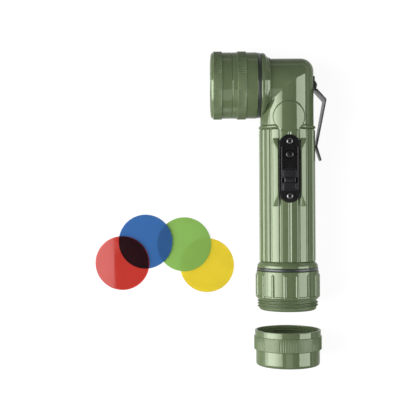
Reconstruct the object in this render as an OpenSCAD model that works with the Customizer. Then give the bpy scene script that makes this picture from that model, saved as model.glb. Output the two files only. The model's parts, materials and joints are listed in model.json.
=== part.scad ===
// Angle-head flashlight for two D cells, laid on its side with the storage cap off and filters fanned out.
// The barrel runs along Y and the head points along -X. The table is the plane Z = 0.

/* [Cells and barrel] */
// Diameter of one cell
cell_d = 33.2; // [31:0.1:35]
// Length of one cell over its contact nub
cell_l = 61.5; // [58:0.5:64]
// Room between a cell and the barrel's bore
cell_gap = 0.9; // [0.8:0.05:1.6]
// Wall of the smooth barrel and elbow
barrel_wall = 2.5; // [2:0.1:4]
// Distance from the head's axis down to the upper cell's nub
cell_top = 23; // [22.5:0.5:30]
// Corner radius at the back of the elbow
elbow_round = 9.8; // [4:0.2:14]

/* [Ribs and bead] */
// Number of ribs round the barrel
rib_count = 18; // [12:1:24]
// Height of the ribs over the smooth barrel
rib_h = 1.0; // [0.6:0.1:1.6]
// Radius of the round groove between two ribs
groove_r = 1.3; // [0.9:0.1:1.8]
// Depth of the groove between two ribs
groove_depth = 0.7; // [0.3:0.05:0.9]
// Distance from the head's axis to the bead round the barrel
bead_w = 31.9; // [30:0.1:36]
// Height of the bead over the smooth barrel
bead_h = 1.3; // [0.8:0.1:2]
// Radius of the round pad below the elbow
pad_r = 11.8; // [8:0.1:13]
// Distance from the head's axis to the pad's centre
pad_w = 24.8; // [22:0.1:27]
// Height of the pad over the smooth barrel
pad_h = 0.7; // [0.4:0.1:1.2]
// Length of the flared foot above the base gasket
foot_l = 4.5; // [3:0.1:7]

/* [Head] */
// Diameter of one colour filter
filter_d = 41.9; // [38:0.1:46]
// Thickness of one colour filter
filter_t = 0.8; // [0.5:0.05:1.2]
// Length of the body's spigot inside the head
pilot_l = 27.3; // [24:0.1:32]
// Wall of the body's spigot inside the head
pilot_wall = 2.2; // [1.6:0.1:3]
// Wall of the lens ring and filter ring over their threads
ring_wall = 2.7; // [1.8:0.1:4]
// Height of the grip bands over the rings
band_h = 0.6; // [0.3:0.1:1]
// Length of one grip band on the head
band_l = 7; // [4:0.1:9]
// Thickness of the gasket behind the head
head_gasket_t = 2.2; // [1.5:0.1:3.5]
// Length of the lens ring that shows
lens_ring_l = 18.7; // [16:0.1:22]
// Thickness of the lens
lens_t = 2; // [1.5:0.1:3]
// Thickness of the seal behind the lens
lens_gasket_t = 1; // [0.6:0.1:1.6]
// Thickness of the reflector's flange
flange_t = 0.8; // [0.6:0.1:1.2]
// Thickness of the lip in front of the lens
lens_lip_t = 1.3; // [0.8:0.1:2]
// Room for a filter in front of the lens ring
filter_room = 1.4; // [1.1:0.1:2.5]
// Thickness of the seal in the filter ring
filter_gasket_t = 0.8; // [0.5:0.1:1.5]
// Thickness of the filter ring's front lip
front_lip_t = 2.4; // [1.6:0.1:4]
// Radius of the filter ring's front edge
front_edge = 2; // [0.5:0.1:2.5]
// Length of the flare between the elbow and the head gasket
collar_l = 7.3; // [6:0.1:9]
// Focal length of the reflector
focal_l = 6; // [5:0.1:7]
// Radius of the bulb's glass
bulb_r = 5.4; // [4.5:0.1:5.8]

/* [Base] */
// Length of the battery spring as fitted
spring_l = 10; // [8:0.5:14]
// Thickness of the floor of the battery cap
cap_floor_t = 2.8; // [2:0.1:4]
// Length of the battery cap's grip
grip_l = 20.9; // [18:0.1:26]
// Wall of the battery cap's grip
grip_wall = 2.3; // [1.8:0.1:3.5]
// Number of ridges on the grip
ridge_count = 16; // [10:1:20]
// Angle from the switch's side to the nearest ridge
ridge_turn = 10; // [0:0.5:11]
// Radius of a grip ridge
ridge_r = 1.2; // [0.8:0.1:1.6]
// Thickness of the gasket above the battery cap
base_gasket_t = 2.3; // [1.2:0.1:3]
// Length of the threaded neck under the battery cap
neck_l = 8.3; // [7:0.1:10]
// Height of the storage cap
cap_l = 26.3; // [24:0.1:34]
// Thickness of the storage cap's floor
cap_bottom_t = 2.4; // [1.6:0.1:4]
// Wall of the storage cap's mouth over its thread
mouth_wall = 1.7; // [1.3:0.1:3]
// Wall of the storage cap's lower half
cap_wall = 2.5; // [1.6:0.1:3.5]
// Length of the grip band on the storage cap
cap_band_l = 10.2; // [6:0.1:12]
// Radius of the storage cap's bottom edge
cap_edge = 2.3; // [0.5:0.1:3]
// Distance between the neck and the storage cap lying off
cap_apart = 15.1; // [5:0.1:40]

/* [Threads and fits] */
// Pitch of the head's thread
head_pitch = 2.4; // [2.2:0.1:3]
// Pitch of the filter ring's thread
filter_pitch = 2; // [1.8:0.1:2.4]
// Pitch of the battery cap's thread
base_pitch = 2.4; // [2.2:0.1:3]
// Pitch of the storage cap's thread
cap_pitch = 2; // [1.9:0.1:2.4]
// Depth of the head's and battery cap's threads
thread_h = 0.9; // [0.7:0.05:1.1]
// Depth of the filter ring's thread
fine_thread_h = 0.6; // [0.5:0.05:0.8]
// Depth of the storage cap's thread
cap_thread_h = 1.1; // [0.8:0.05:1.2]
// Clearance between two threads
thread_gap = 0.35; // [0.3:0.05:0.5]
// Clearance of pieces that slide or turn
run_gap = 0.3; // [0.2:0.05:0.4]
// Clearance of pieces that seat on each other
seat_gap = 0.1; // [0.05:0.05:0.2]

/* [Switch] */
// Distance from the head's axis to the middle of the switch
switch_w = 63; // [61:0.5:75]
// Width of the switch plate
plate_w = 15.6; // [14.8:0.1:17]
// Length of the switch plate over its round ends
plate_l = 49.8; // [48.6:0.1:51]
// Thickness of the switch plate
plate_t = 2.5; // [2.3:0.1:3.5]
// Distance between the two plate screws
screw_span = 40; // [39:0.1:42]
// Thickness of the seal under the plate
switch_gasket_t = 0.5; // [0.3:0.1:0.8]
// Width of the raised frame round the slide
frame_w = 12.6; // [11.6:0.1:13.4]
// Room between the raised frame and each plate screw
frame_room = 0.5; // [0.3:0.1:1]
// Height of the raised frame over the plate
frame_h = 1.3; // [0.8:0.1:2]
// Wall of the raised frame
frame_wall = 0.7; // [0.5:0.05:1]
// Length of the slide
slide_l = 15.4; // [13:0.1:16]
// Height of the slide over the plate
slide_h = 1.9; // [1.5:0.1:2.4]
// Height of the thumb step on the slide
thumb_h = 1.4; // [0.8:0.1:2]
// Travel of the slide
slide_travel = 7; // [5:0.1:7.2]
// Radius of the push button
button_r = 3; // [2.4:0.1:3.4]
// Travel of the push button
button_travel = 0.9; // [0.5:0.1:1]
// Height of the guards over the smooth barrel
guard_h = 3.8; // [2.5:0.1:5]
// Thickness of one guard
guard_t = 3.8; // [2.5:0.1:5]
// Length of the guards
guard_l = 49.7; // [46:0.1:54]

/* [Belt clip] */
// Thickness of the clip's steel
clip_t = 0.9; // [0.7:0.05:1.3]
// Width of the clip at its bend
clip_w = 19.5; // [14:0.5:22]
// Width of the clip at its lip
clip_end_w = 11; // [8:0.5:14]
// Width of the clip's riveted tab
tab_w = 8; // [7:0.5:12]
// How far the clip's bend stands off the smooth barrel
clip_reach = 8.2; // [6:0.1:12]
// Length of the clip from its root to where it meets the barrel
clip_l = 42.5; // [36:0.5:60]
// Thickness of the plate under the clip's tab
clip_plate_t = 0.6; // [0.4:0.1:1.2]
// Radius of the rivet's head
rivet_r = 2.5; // [2.2:0.1:3]

/* [Filters on the table] */
// Place of the red filter, right of the barrel's axis and above the head's axis
red_at = [-125.8, -134.2]; // [-200:0.1:0]
// Place of the blue filter
blue_at = [-107.8, -117.7]; // [-200:0.1:0]
// Place of the green filter
green_at = [-77.8, -119.9]; // [-200:0.1:0]
// Place of the yellow filter
yellow_at = [-60.2, -136.2]; // [-200:0.1:0]

/* [Hidden] */
$fn = 64;
embed = 0.5;
cut = 1;
tight_gap = 0.05;
edge_break = 0.4;
band_break = 0.3;

// Barrel, measured from its axis, with w counted down from the head's axis
bore_r = cell_d / 2 + cell_gap;
barrel_r = bore_r + barrel_wall;
rib_r = barrel_r + rib_h;
disc_ledge = 1.5;
elbow_ledge = 1;
neck_bore_r = bore_r - disc_ledge;
elbow_bore_r = bore_r - elbow_ledge;
cells_end = cell_top + 2 * cell_l;
spring_seat_w = cells_end + spring_l;
spring_plate_t = 0.6;
floor_w = spring_seat_w + spring_plate_t;
flange_w = floor_w + cap_floor_t;
neck_end_w = flange_w + neck_l;
grip_w = flange_w - grip_l;
body_end_w = grip_w - base_gasket_t;
spigot_past = 1;
spigot_end_w = cells_end + spigot_past;
foot_w = body_end_w - foot_l;
bead_end_w = bead_w + bead_h + run_gap;
strip_t = 0.5;
strip_w = 8;
nub_gap = 0.6;
disc_t = 1.45;
disc_w = cell_top - strip_t - nub_gap - disc_t;

// Base, with its threads
spigot_wall = 2.3;
spigot_r = bore_r + spigot_wall;
grip_bore_r = spigot_r + thread_h + thread_gap;
filter_r = filter_d / 2;
neck_room = 0.55;
neck_wall = 2.5;
neck_r = filter_r + neck_room;
neck_crest_r = neck_r + cap_thread_h;
neck_inner_r = neck_r - neck_wall;
flange_step = 0.7;
grip_r = max(grip_bore_r + grip_wall, neck_crest_r + flange_step);
lip_out = 0.6;
lip_r = grip_r + lip_out;
lip_l = 2.2;
well_step = 0.5;
well_r = bore_r + well_step;
foot_step = 0.7;
foot_r = grip_r - foot_step;
gasket_step = 0.4;
base_gasket_r = grip_r - gasket_step;
ridge_start = 3.4;

// Storage cap, lying off
mouth_w = neck_end_w + cap_apart;
cap_end_w = mouth_w + cap_l;
cap_bore_r = neck_crest_r + thread_gap;
mouth_r = cap_bore_r + mouth_wall;
cap_band_r = mouth_r + band_h;
store_room = 0.45;
cap_inner_r = filter_r + store_room;
cap_low_r = cap_inner_r + cap_wall;
cap_gasket_t = 1.2;
cap_gasket_w = 1.75;
shoulder_d = neck_l + seat_gap + cap_gasket_t;
cap_band_d = 4.2;

// Head, measured from its axis, with h counted forward from the barrel's axis
lens_step = 0.15;
lens_r = filter_r - lens_step;
ring_bore_r = lens_r + run_gap;
pilot_r = ring_bore_r - run_gap;
pilot_bore_r = pilot_r - pilot_wall;
head_bore_r = pilot_r + thread_h + thread_gap;
ring_r = head_bore_r + ring_wall;
ring_band_r = ring_r + band_h;
collar_h = barrel_r + run_gap;
collar_step = 0.5;
collar_r = ring_r - collar_step;
collar_rim_l = 4.2;
collar_round = 2.5;
collar_cone = 0.54;
collar_ledge = 0.25;
lens_ring_h = collar_h + head_gasket_t + seat_gap;
pilot_h = collar_h + pilot_l;
reflector_h = pilot_h + flange_t + seat_gap;
lens_h = reflector_h + lens_gasket_t;
lip_h = lens_h + lens_t;
tube_h = lip_h + lens_lip_t;
seam_h = lens_ring_h + lens_ring_l;
front_seat_h = tube_h + filter_room + filter_gasket_t;
front_h = front_seat_h + front_lip_t;
rear_band_at = 11.5;
front_band_at = 5.4;
rear_band_mid = lens_ring_h + rear_band_at;
front_band_mid = front_h - front_band_at;
tube_wall = 1.2;
tube_r = ring_bore_r + tube_wall;
filter_bore_r = tube_r + fine_thread_h + thread_gap;
filter_play = 0.35;
filter_seat_r = filter_r + filter_play;
window_lip = 0.65;
window_r = filter_r - window_lip;
lens_lip = 1.6;
lens_lip_r = lens_r - lens_lip;
head_thread_l = 11.4;
thread_bore_end_h = lens_ring_h + head_thread_l;

// Reflector and lamp
mouth_reflector_r = pilot_bore_r - run_gap;
bowl_depth = mouth_reflector_r * mouth_reflector_r / (4 * focal_l);
vertex_h = reflector_h - bowl_depth;
bulb_hole_r = bulb_r + run_gap + tight_gap;
sleeve_l = 2.4;
sleeve_wall = 1.25;
bulb_seat_h = vertex_h + bulb_hole_r * bulb_hole_r / (4 * focal_l) - sleeve_l;
bulb_sleeve_r = bulb_hole_r + sleeve_wall;
bulb_flange_t = 0.8;
base_r = 4.6;
base_l = 9.6;
bulb_tip_l = 1;
bulb_tip_h = bulb_seat_h - bulb_flange_t - base_l;
bulb_neck_l = 6.4;
holder_wall = 1.1;
holder_l = 2.6;
holder_floor = 1.4;

// Belt clip, right of the barrel's axis and above the head's axis
clip_tab_x = barrel_r + clip_plate_t;
clip_mid_x = clip_tab_x + clip_t / 2;
clip_root_y = -3.75;
clip_slope = 1.08;
clip_bend_x = barrel_r + clip_reach;
clip_bend_y = clip_root_y - (clip_bend_x - clip_mid_x) * clip_slope;
clip_rest = 0.15;
clip_touch_x = rib_r + clip_t / 2 + clip_rest;
clip_touch_y = clip_root_y - clip_l;
clip_lip_out = 3.4;
clip_lip_l = 10.4;
clip_lip = [clip_touch_x + clip_lip_out, clip_touch_y - clip_lip_l];
clip_round = 1.6;
clip_path = [[clip_mid_x, clip_root_y], [clip_bend_x, clip_bend_y], [clip_touch_x, clip_touch_y], clip_lip];
clip_plate_top = 6.4;
clip_plate_low = -3.1;
tab_top = 2.9;
rivet_hole_r = rivet_r / 2 + tight_gap;

// Places in the part's own frame: the origin is under the middle of the whole layout, on the table
axis_z = max(ring_band_r, cap_band_r);
left_x = red_at[0] - filter_r;
right_x = bend_centre(clip_path[0], clip_path[1], clip_path[2], clip_round)[0] + clip_round + clip_t / 2;
elbow_x = -(left_x + right_x) / 2;
elbow_y = (cap_end_w - ring_band_r) / 2;

// Switch, measured out from the barrel's axis
screw_head_r = 2.4;
screw_head_h = 1.3;
shank_r = 1.1;
seat_wall = 1.1;
seat_z = bore_r + seat_wall;
plate_z = seat_z + switch_gasket_t;
plate_top_z = plate_z + plate_t;
track_depth = 0.9;
track_z = plate_top_z - track_depth;
pocket_depth = 0.8;
pocket_z = plate_z + pocket_depth;
frame_l = screw_span - 2 * (screw_head_r + frame_room);
frame_top_z = plate_top_z + frame_h;
frame_top_w = switch_w - frame_l / 2;
frame_end_w = switch_w + frame_l / 2;
slide_gap = 0.2;
track_w = frame_w - 2 * frame_wall;
slide_w = track_w - 2 * slide_gap;
slide_end_w = frame_end_w - frame_wall - slide_gap;
slide_mid_w = slide_end_w - slide_l / 2;
slide_base_z = track_z + slide_gap;
slide_top_z = plate_top_z + slide_h;
button_back = 2.9;
button_w = frame_top_w + frame_wall + button_r + button_back;
button_top_z = frame_top_z - seat_gap;
button_dome = 1;
button_flange_t = 0.4;
button_flange_w = 0.6;
button_flange_z = pocket_z - button_flange_t - tight_gap;
button_flange_r = button_r + button_flange_w;
stem_w = 3;
stem_l = 5;
slot_l = stem_l + slide_travel + 4 * slide_gap;
stem_down = 2.2;
stem_mid_w = slide_mid_w + stem_down;
slot_mid_w = stem_mid_w - slide_travel / 2;
strip_end = 1;
strip_start_w = switch_w - screw_span / 2 - shank_r - strip_end;
guard_r = barrel_r + guard_h;
guard_x = plate_w / 2 + run_gap + slide_gap;
guard_shift = 2.6;
guard_mid_w = switch_w + guard_shift;
guard_end_z = barrel_r + 0.2;
guard_ramp = 0.26;
button_wire = 0.3;
battery_wire = 1.2;
spring_solid = 0.9;
spring_foot_z = button_flange_z - tight_gap - button_travel - spring_solid;

green = [0.38, 0.44, 0.3];
black = [0.12, 0.12, 0.13];
steel = [0.5, 0.5, 0.53];
brass = [0.75, 0.6, 0.3];
bright = [0.85, 0.85, 0.88];
clear = [0.88, 0.94, 0.97, 0.4];
cell_sleeve = [0.75, 0.5, 0.25];

// Frames: at_elbow keeps the part's axes, on_barrel points Z down the barrel, on_head Z out of the head
module at_elbow() { translate([elbow_x, elbow_y, axis_z]) children(); }
module on_barrel() { at_elbow() rotate([90, 0, 0]) children(); }
module on_head() { at_elbow() rotate([0, -90, 0]) children(); }

// Plain rod, ring and box between the given limits
module rod(r, z0, z1) { translate([0, 0, z0]) cylinder(r = r, h = z1 - z0); }

module ring(r_out, r_in, z0, z1) {
    difference() {
        rod(r_out, z0, z1);
        rod(r_in, z0 - cut, z1 + cut);
    }
}

module box(x0, x1, y0, y1, z0, z1) { translate([x0, y0, z0]) cube([x1 - x0, y1 - y0, z1 - z0]); }

// Round cap of radius r and height h, standing on z0
module dome(r, h, z0) {
    ball_r = (r * r + h * h) / (2 * h);
    intersection() {
        translate([0, 0, z0 + h - ball_r]) sphere(r = ball_r);
        rod(r, z0, z0 + h + cut);
    }
}

// Points of an arc round a centre, from angle a0 to a1
function arc(cx, cy, r, a0, a1, n = 6) = [for (i = [0:n]) let (a = a0 + (a1 - a0) * i / n)
    [cx + r * cos(a), cy + r * sin(a)]];

// Triangles of a tube of n rings of m points each, with both ends closed
function tube_faces(n, m) = concat(
    [[for (j = [0:m - 1]) j]],
    [for (i = [0:n - 2], j = [0:m - 1], t = [0, 1]) let (k = (j + 1) % m)
        t == 0 ? [i * m + j, (i + 1) * m + j, (i + 1) * m + k] : [i * m + j, (i + 1) * m + k, i * m + k]],
    [[for (j = [m - 1:-1:0]) (n - 1) * m + j]]);

// Right-hand thread ridge along Z, from z0 to z1, on a wall of radius r_wall. It reaches r_crest, in or out,
// and fades into the wall over a quarter turn at each end.
thread_steps = 32;
thread_base = 0.23;
thread_crest = 0.1;
module thread(r_wall, r_crest, z0, z1, pitch, phase) {
    out = r_crest > r_wall ? 1 : -1;
    r_base = r_wall - out * embed;
    n = floor((z1 - z0) / pitch * thread_steps);
    fade = thread_steps / 4;
    least = 0.25;
    points = [for (i = [0:n])
        let (z = z0 + pitch * i / thread_steps,
             a = 360 * (z / pitch - phase),
             k = max(least, min(1, i / fade, (n - i) / fade)),
             r = r_base + (r_crest - r_base) * k,
             base = out * pitch * thread_base,
             crest = out * pitch * thread_crest)
        for (p = [[r_base, base], [r, crest], [r, -crest], [r_base, -base]])
            [p[0] * cos(a), p[0] * sin(a), z + p[1]]];
    polyhedron(points, tube_faces(n + 1, 4), convexity = 10);
}

// Round wire wound along Z from radius r0 to r1 over height l
wire_steps = 12;
wire_sides = 6;
module coil(r0, r1, l, turns, wire) {
    n = ceil(turns * wire_steps);
    points = [for (i = [0:n])
        let (a = 360 * turns * i / n, r = r0 + (r1 - r0) * i / n, z = wire / 2 + (l - wire) * i / n)
        for (j = [0:wire_sides - 1])
            let (b = -360 * j / wire_sides)
            [(r + wire / 2 * cos(b)) * cos(a), (r + wire / 2 * cos(b)) * sin(a), z + wire / 2 * sin(b)]];
    polyhedron(points, tube_faces(n + 1, wire_sides), convexity = 10);
    echo(least_gap = norm([(r1 - r0) / turns, (l - wire) / turns]) - wire);
}

// Flat strip outline of thickness t along a path of points
function unit(v) = v / norm(v);
function side(p, i) = let (a = unit(p[min(i + 1, len(p) - 1)] - p[max(i - 1, 0)])) [-a[1], a[0]];
module strip(p, t) {
    polygon(concat([for (i = [0:len(p) - 1]) p[i] + side(p, i) * t / 2],
                   [for (i = [len(p) - 1:-1:0]) p[i] - side(p, i) * t / 2]));
}

// Path with each inner corner rounded to radius r
function bend_half(p0, p1, p2) = acos(unit(p0 - p1) * unit(p2 - p1)) / 2;
function bend_centre(p0, p1, p2, r) =
    p1 + unit(unit(p0 - p1) + unit(p2 - p1)) * r / sin(bend_half(p0, p1, p2));
function bend(p0, p1, p2, r, n = 5) =
    let (c = bend_centre(p0, p1, p2, r), d = r / tan(bend_half(p0, p1, p2)),
         s = p1 + unit(p0 - p1) * d, e = p1 + unit(p2 - p1) * d,
         a0 = atan2(s[1] - c[1], s[0] - c[0]), turn = atan2(e[1] - c[1], e[0] - c[0]) - a0,
         sweep = turn > 180 ? turn - 360 : turn < -180 ? turn + 360 : turn)
    [for (i = [0:n]) c + r * [cos(a0 + sweep * i / n), sin(a0 + sweep * i / n)]];
function bent_path(p, r) = concat([p[0]], [for (i = [1:len(p) - 2]) each bend(p[i - 1], p[i], p[i + 1], r)],
                                  [p[len(p) - 1]]);

// Elbow: round section of radius r that turns from the barrel to the neck, with the back corner rounded
elbow_steps = 72;
elbow_arc = 8;
elbow_inner = 0.2;
elbow_run = 3.5;
elbow_skin = 0.03;
function turn_point(r, a, s) =
    let (q = sin(a) >= 0 ? r - elbow_round : r + elbow_inner,
         n1 = [sin(a), 0, cos(a)], n2 = [0, sin(a), cos(a)],
         whole = acos(cos(a) * cos(a)), n = (sin((1 - s) * whole) * n1 + sin(s * whole) * n2) / sin(whole))
    q * [sin(a), sin(a), cos(a)] + (r - q) * n;
module elbow() {
    r = barrel_r - elbow_skin;
    angles = [for (i = [0:elbow_steps - 1]) 360 * (i + 0.5) / elbow_steps];
    points = concat(
        [for (a = angles) [r * sin(a), -barrel_r - elbow_run, r * cos(a)]],
        [for (i = [0:elbow_arc], a = angles) turn_point(r, a, i / elbow_arc)],
        [for (a = angles) [2 * elbow_skin - collar_h, r * sin(a), r * cos(a)]]);
    polyhedron(points, tube_faces(elbow_arc + 3, elbow_steps), convexity = 10);
}

// Outline of the switch plate seen from above, grown by g
module plate_outline(g) {
    span = plate_l - plate_w;
    translate([-plate_w / 2 - g, -switch_w - span / 2]) square([plate_w + 2 * g, span]);
    for (s = [-1, 1]) translate([0, -switch_w + s * span / 2]) circle(r = plate_w / 2 + g);
}

module screw_places() { for (s = [-1, 1]) translate([0, -switch_w + s * screw_span / 2, 0]) children(); }

// Two walls beside the switch, rounded like the barrel and ramped down at their ends
module guards() {
    low_y = -guard_mid_w - guard_l / 2;
    high_y = -guard_mid_w + guard_l / 2;
    ramp_l = (guard_r - guard_end_z) / guard_ramp;
    intersection() {
        on_barrel() rod(guard_r, -high_y - cut, -low_y + cut);
        at_elbow() for (s = [-1, 1])
            translate([s * (guard_x + guard_t / 2) - guard_t / 2, 0, 0]) rotate([90, 0, 90])
                linear_extrude(guard_t) polygon([[low_y, bore_r - embed], [high_y, bore_r - embed],
                    [high_y, guard_end_z], [high_y - ramp_l, guard_r], [low_y + ramp_l, guard_r],
                    [low_y, guard_end_z]]);
    }
}

module ribs() {
    difference() {
        on_barrel() rod(rib_r, bead_end_w, foot_w);
        on_barrel() for (i = [0:rib_count - 1]) rotate(360 * i / rib_count)
            translate([0, rib_r - groove_depth + groove_r, 0]) rod(groove_r, bead_end_w - cut, foot_w + cut);
    }
}

module pad_post() { at_elbow() translate([0, -pad_w, -2 * barrel_r]) cylinder(r = pad_r, h = 4 * barrel_r); }

module pads() {
    intersection() {
        on_barrel() rod(barrel_r + pad_h, 0, pad_w + pad_r + cut);
        pad_post();
    }
}

module bead() {
    difference() {
        on_barrel() translate([0, 0, bead_w]) rotate_extrude() translate([barrel_r, 0]) circle(r = bead_h);
        pad_post();
    }
}

// Flare from the elbow out to the head gasket: a cone, and a round rim that stands a ledge proud of it
module collar() {
    cone_r = barrel_r + (collar_r - barrel_r) * collar_cone;
    rim_h = collar_h - collar_rim_l;
    rim_rise = collar_r - cone_r - collar_ledge;
    on_head() rotate_extrude() polygon(concat(
        [[pilot_bore_r, collar_h - collar_l], [barrel_r, collar_h - collar_l], [cone_r, rim_h]],
        [for (a = [0:15:90]) [collar_r - rim_rise * (1 - sin(a)), rim_h + collar_round * (1 - cos(a))]],
        [[collar_r, collar_h], [pilot_bore_r, collar_h]]));
}

// Flare from the ribs out to the base gasket
module foot() {
    rim_l = 1.4;
    inner_r = bore_r + embed;
    on_barrel() rotate_extrude() polygon([[inner_r, foot_w], [rib_r - edge_break, foot_w],
        [foot_r - edge_break, body_end_w - foot_l / 2], [foot_r, body_end_w - rim_l], [foot_r, body_end_w],
        [inner_r, body_end_w]]);
}

// Thread of the head on the body, and of the battery cap on the body, kept back from the ends by a lead
thread_lead = 1.2;
module body_shell() {
    color(green) difference() {
        union() {
            at_elbow() elbow();
            on_barrel() rod(barrel_r, barrel_r + elbow_run - embed, body_end_w);
            ribs();
            pads();
            bead();
            guards();
            collar();
            foot();
            on_head() rod(pilot_r, collar_h - embed, pilot_h);
            on_head() thread(pilot_r, pilot_r + thread_h, lens_ring_h + thread_lead,
                             thread_bore_end_h - thread_lead, head_pitch, 0);
            on_barrel() rod(spigot_r, body_end_w - embed, spigot_end_w);
            on_barrel() thread(spigot_r, spigot_r + thread_h, grip_w + thread_lead / 2,
                               spigot_end_w - thread_lead, base_pitch, 0);
        }
        on_barrel() rod(bore_r, disc_w, spigot_end_w + cut);
        on_barrel() rod(neck_bore_r, -elbow_bore_r / 2, disc_w + cut);
        on_head() rod(elbow_bore_r, -elbow_bore_r / 2, vertex_h);
        on_head() rod(pilot_bore_r, collar_h, pilot_h + cut);
        at_elbow() translate([0, 0, seat_z]) linear_extrude(guard_r) plate_outline(run_gap);
        at_elbow() screw_places() rod(shank_r + seat_gap, bore_r - cut, seat_z + cut);
        at_elbow() box(-stem_w / 2 - 2 * slide_gap, stem_w / 2 + 2 * slide_gap, -slot_mid_w - slot_l / 2,
                       -slot_mid_w + slot_l / 2, bore_r - 2 * cut, seat_z + cut);
        at_elbow() translate([0, -button_w, 0]) rod(button_flange_r + slide_gap, bore_r - cut, seat_z + cut);
        at_elbow() rotate([0, 90, 0]) rod(rivet_hole_r, neck_bore_r - 2 * cut, barrel_r + cut);
    }
}

module head_gasket() {
    color(black) on_head() ring(collar_r + seat_gap, pilot_r + seat_gap, collar_h, collar_h + head_gasket_t);
}

// Outline points of a grip band between two places along a ring, from back to front
function band_points(r, h0, h1) =
    [[r, h0], [r + band_h, h0 + band_break], [r + band_h, h1 - band_break], [r, h1]];

module lens_ring() {
    color(green) on_head() {
        rotate_extrude() polygon(concat(
            [[head_bore_r, lens_ring_h], [ring_r - edge_break, lens_ring_h],
             [ring_r, lens_ring_h + edge_break]],
            band_points(ring_r, rear_band_mid - band_l / 2, rear_band_mid + band_l / 2),
            [[ring_r, seam_h - edge_break], [ring_r - edge_break, seam_h], [tube_r, seam_h], [tube_r, tube_h],
             [lens_lip_r, tube_h], [lens_lip_r, lip_h], [ring_bore_r, lip_h],
             [ring_bore_r, thread_bore_end_h],
             [head_bore_r, thread_bore_end_h]]));
        thread(head_bore_r, pilot_r + thread_gap, lens_ring_h + thread_lead, thread_bore_end_h - thread_lead,
               head_pitch, 0.5);
        thread(tube_r, tube_r + fine_thread_h, seam_h + 2 * thread_lead, tube_h - thread_lead,
               filter_pitch, 0);
    }
}

module filter_ring() {
    back_h = seam_h + seat_gap;
    bore_end_h = tube_h + 2 * run_gap;
    band_end = min(front_band_mid + band_l / 2, front_h - front_edge);
    color(green) on_head() {
        rotate_extrude() polygon(concat(
            [[filter_bore_r, back_h], [ring_r - edge_break, back_h], [ring_r, back_h + edge_break]],
            band_points(ring_r, front_band_mid - band_l / 2, band_end),
            arc(ring_r - front_edge, front_h - front_edge, front_edge, 0, 90),
            [[window_r, front_h], [window_r, front_seat_h], [filter_seat_r, front_seat_h],
             [filter_seat_r, bore_end_h], [filter_bore_r, bore_end_h]]));
        thread(filter_bore_r, tube_r + thread_gap, seam_h + 2 * thread_lead, tube_h - thread_lead,
               filter_pitch, 0.5);
    }
}

module filter_gasket() {
    color(black) on_head()
        ring(filter_seat_r - seat_gap, window_r, front_seat_h - filter_gasket_t, front_seat_h);
}

module lens() { color(clear) on_head() rod(lens_r, lens_h, lip_h); }

module lens_gasket() { color(black) on_head() ring(lens_r, mouth_reflector_r, reflector_h, lens_h); }

// Bowl of the reflector: the inner curve, its flange, the same curve a wall further out and the lamp's sleeve
module reflector() {
    wall = 1.3;
    steps = 14;
    sleeve_step = 3;
    rim_h = reflector_h - flange_t;
    inner = [for (i = [0:steps]) let (r = bulb_hole_r + (mouth_reflector_r - bulb_hole_r) * i / steps)
        [r, vertex_h + r * r / (4 * focal_l)]];
    outer = [for (i = [steps - 1:-1:sleeve_step]) [inner[i][0], inner[i][1] - wall]];
    color(bright) on_head() rotate_extrude() polygon(concat(inner,
        [[lens_r, reflector_h], [lens_r, rim_h], [mouth_reflector_r - seat_gap, rim_h]], outer,
        [[bulb_sleeve_r, inner[sleeve_step][1] - wall], [bulb_sleeve_r, bulb_seat_h],
         [bulb_hole_r, bulb_seat_h]]));
}

module bulb_holder() {
    flange_h = bulb_seat_h - bulb_flange_t;
    inner_r = bulb_sleeve_r + tight_gap;
    color(brass) on_head() {
        ring(inner_r + holder_wall, inner_r, flange_h, flange_h + holder_l);
        ring(inner_r + holder_wall, base_r + 2 * seat_gap, flange_h - holder_floor, flange_h);
    }
}

module bulb_base() {
    flange_h = bulb_seat_h - bulb_flange_t;
    color(brass) on_head() {
        rod(bulb_sleeve_r - 2 * seat_gap, flange_h, bulb_seat_h);
        rod(base_r, bulb_tip_h + bulb_tip_l, flange_h);
        translate([0, 0, bulb_tip_h]) cylinder(r1 = base_r / 4, r2 = base_r / 2, h = bulb_tip_l);
    }
}

module bulb_glass() {
    ball_h = bulb_seat_h + bulb_neck_l;
    color(clear) on_head() {
        rod(base_r - embed, bulb_seat_h, ball_h);
        translate([0, 0, ball_h]) sphere(r = bulb_r);
    }
}

// Spring strip from the upper cell through the insulating disc to the lamp's tip
contact_w = 6;
contact_x = 7;
contact_y = -6;
contact_up = 3;
contact_start = -5;
contact_round = 1.2;
contact_slot = 0.35;
module contact_disc() {
    half = strip_t / 2 + contact_slot;
    color(black) difference() {
        on_barrel() rod(bore_r - tight_gap, disc_w + tight_gap, disc_w + disc_t);
        at_elbow() box(contact_x - half - contact_round, contact_x + half, -disc_w - disc_t - cut,
                       -disc_w + cut,
                       -contact_w / 2 - contact_slot, contact_w / 2 + contact_slot);
    }
}

module bulb_contact() {
    pad_y = -disc_w - disc_t - strip_t / 2;
    tip_x = -bulb_tip_h + seat_gap + strip_t / 2;
    path = bent_path([[contact_start, pad_y], [contact_x, pad_y], [contact_x, contact_y], [tip_x, contact_y],
                      [tip_x, contact_up]], contact_round);
    color(brass) at_elbow() translate([0, 0, -contact_w / 2]) linear_extrude(contact_w) strip(path, strip_t);
}

// One D cell from w0 down, with its contact nub up and its rim crimped
module cell(w0) {
    nub_l = 1.5;
    nub_r = 4.75;
    crimp = 0.6;
    r = cell_d / 2;
    top = w0 + nub_l;
    color(cell_sleeve) on_barrel() {
        rod(nub_r, w0, top + embed);
        rotate_extrude() polygon([[0, top], [r - 3 * crimp, top], [r - 2 * crimp, top + crimp],
            [r - crimp, top + crimp], [r, top + 2 * crimp], [r, w0 + cell_l - crimp],
            [r - crimp, w0 + cell_l],
            [0, w0 + cell_l]]);
    }
}

module upper_cell() { cell(cell_top); }
module lower_cell() { cell(cell_top + cell_l); }

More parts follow.
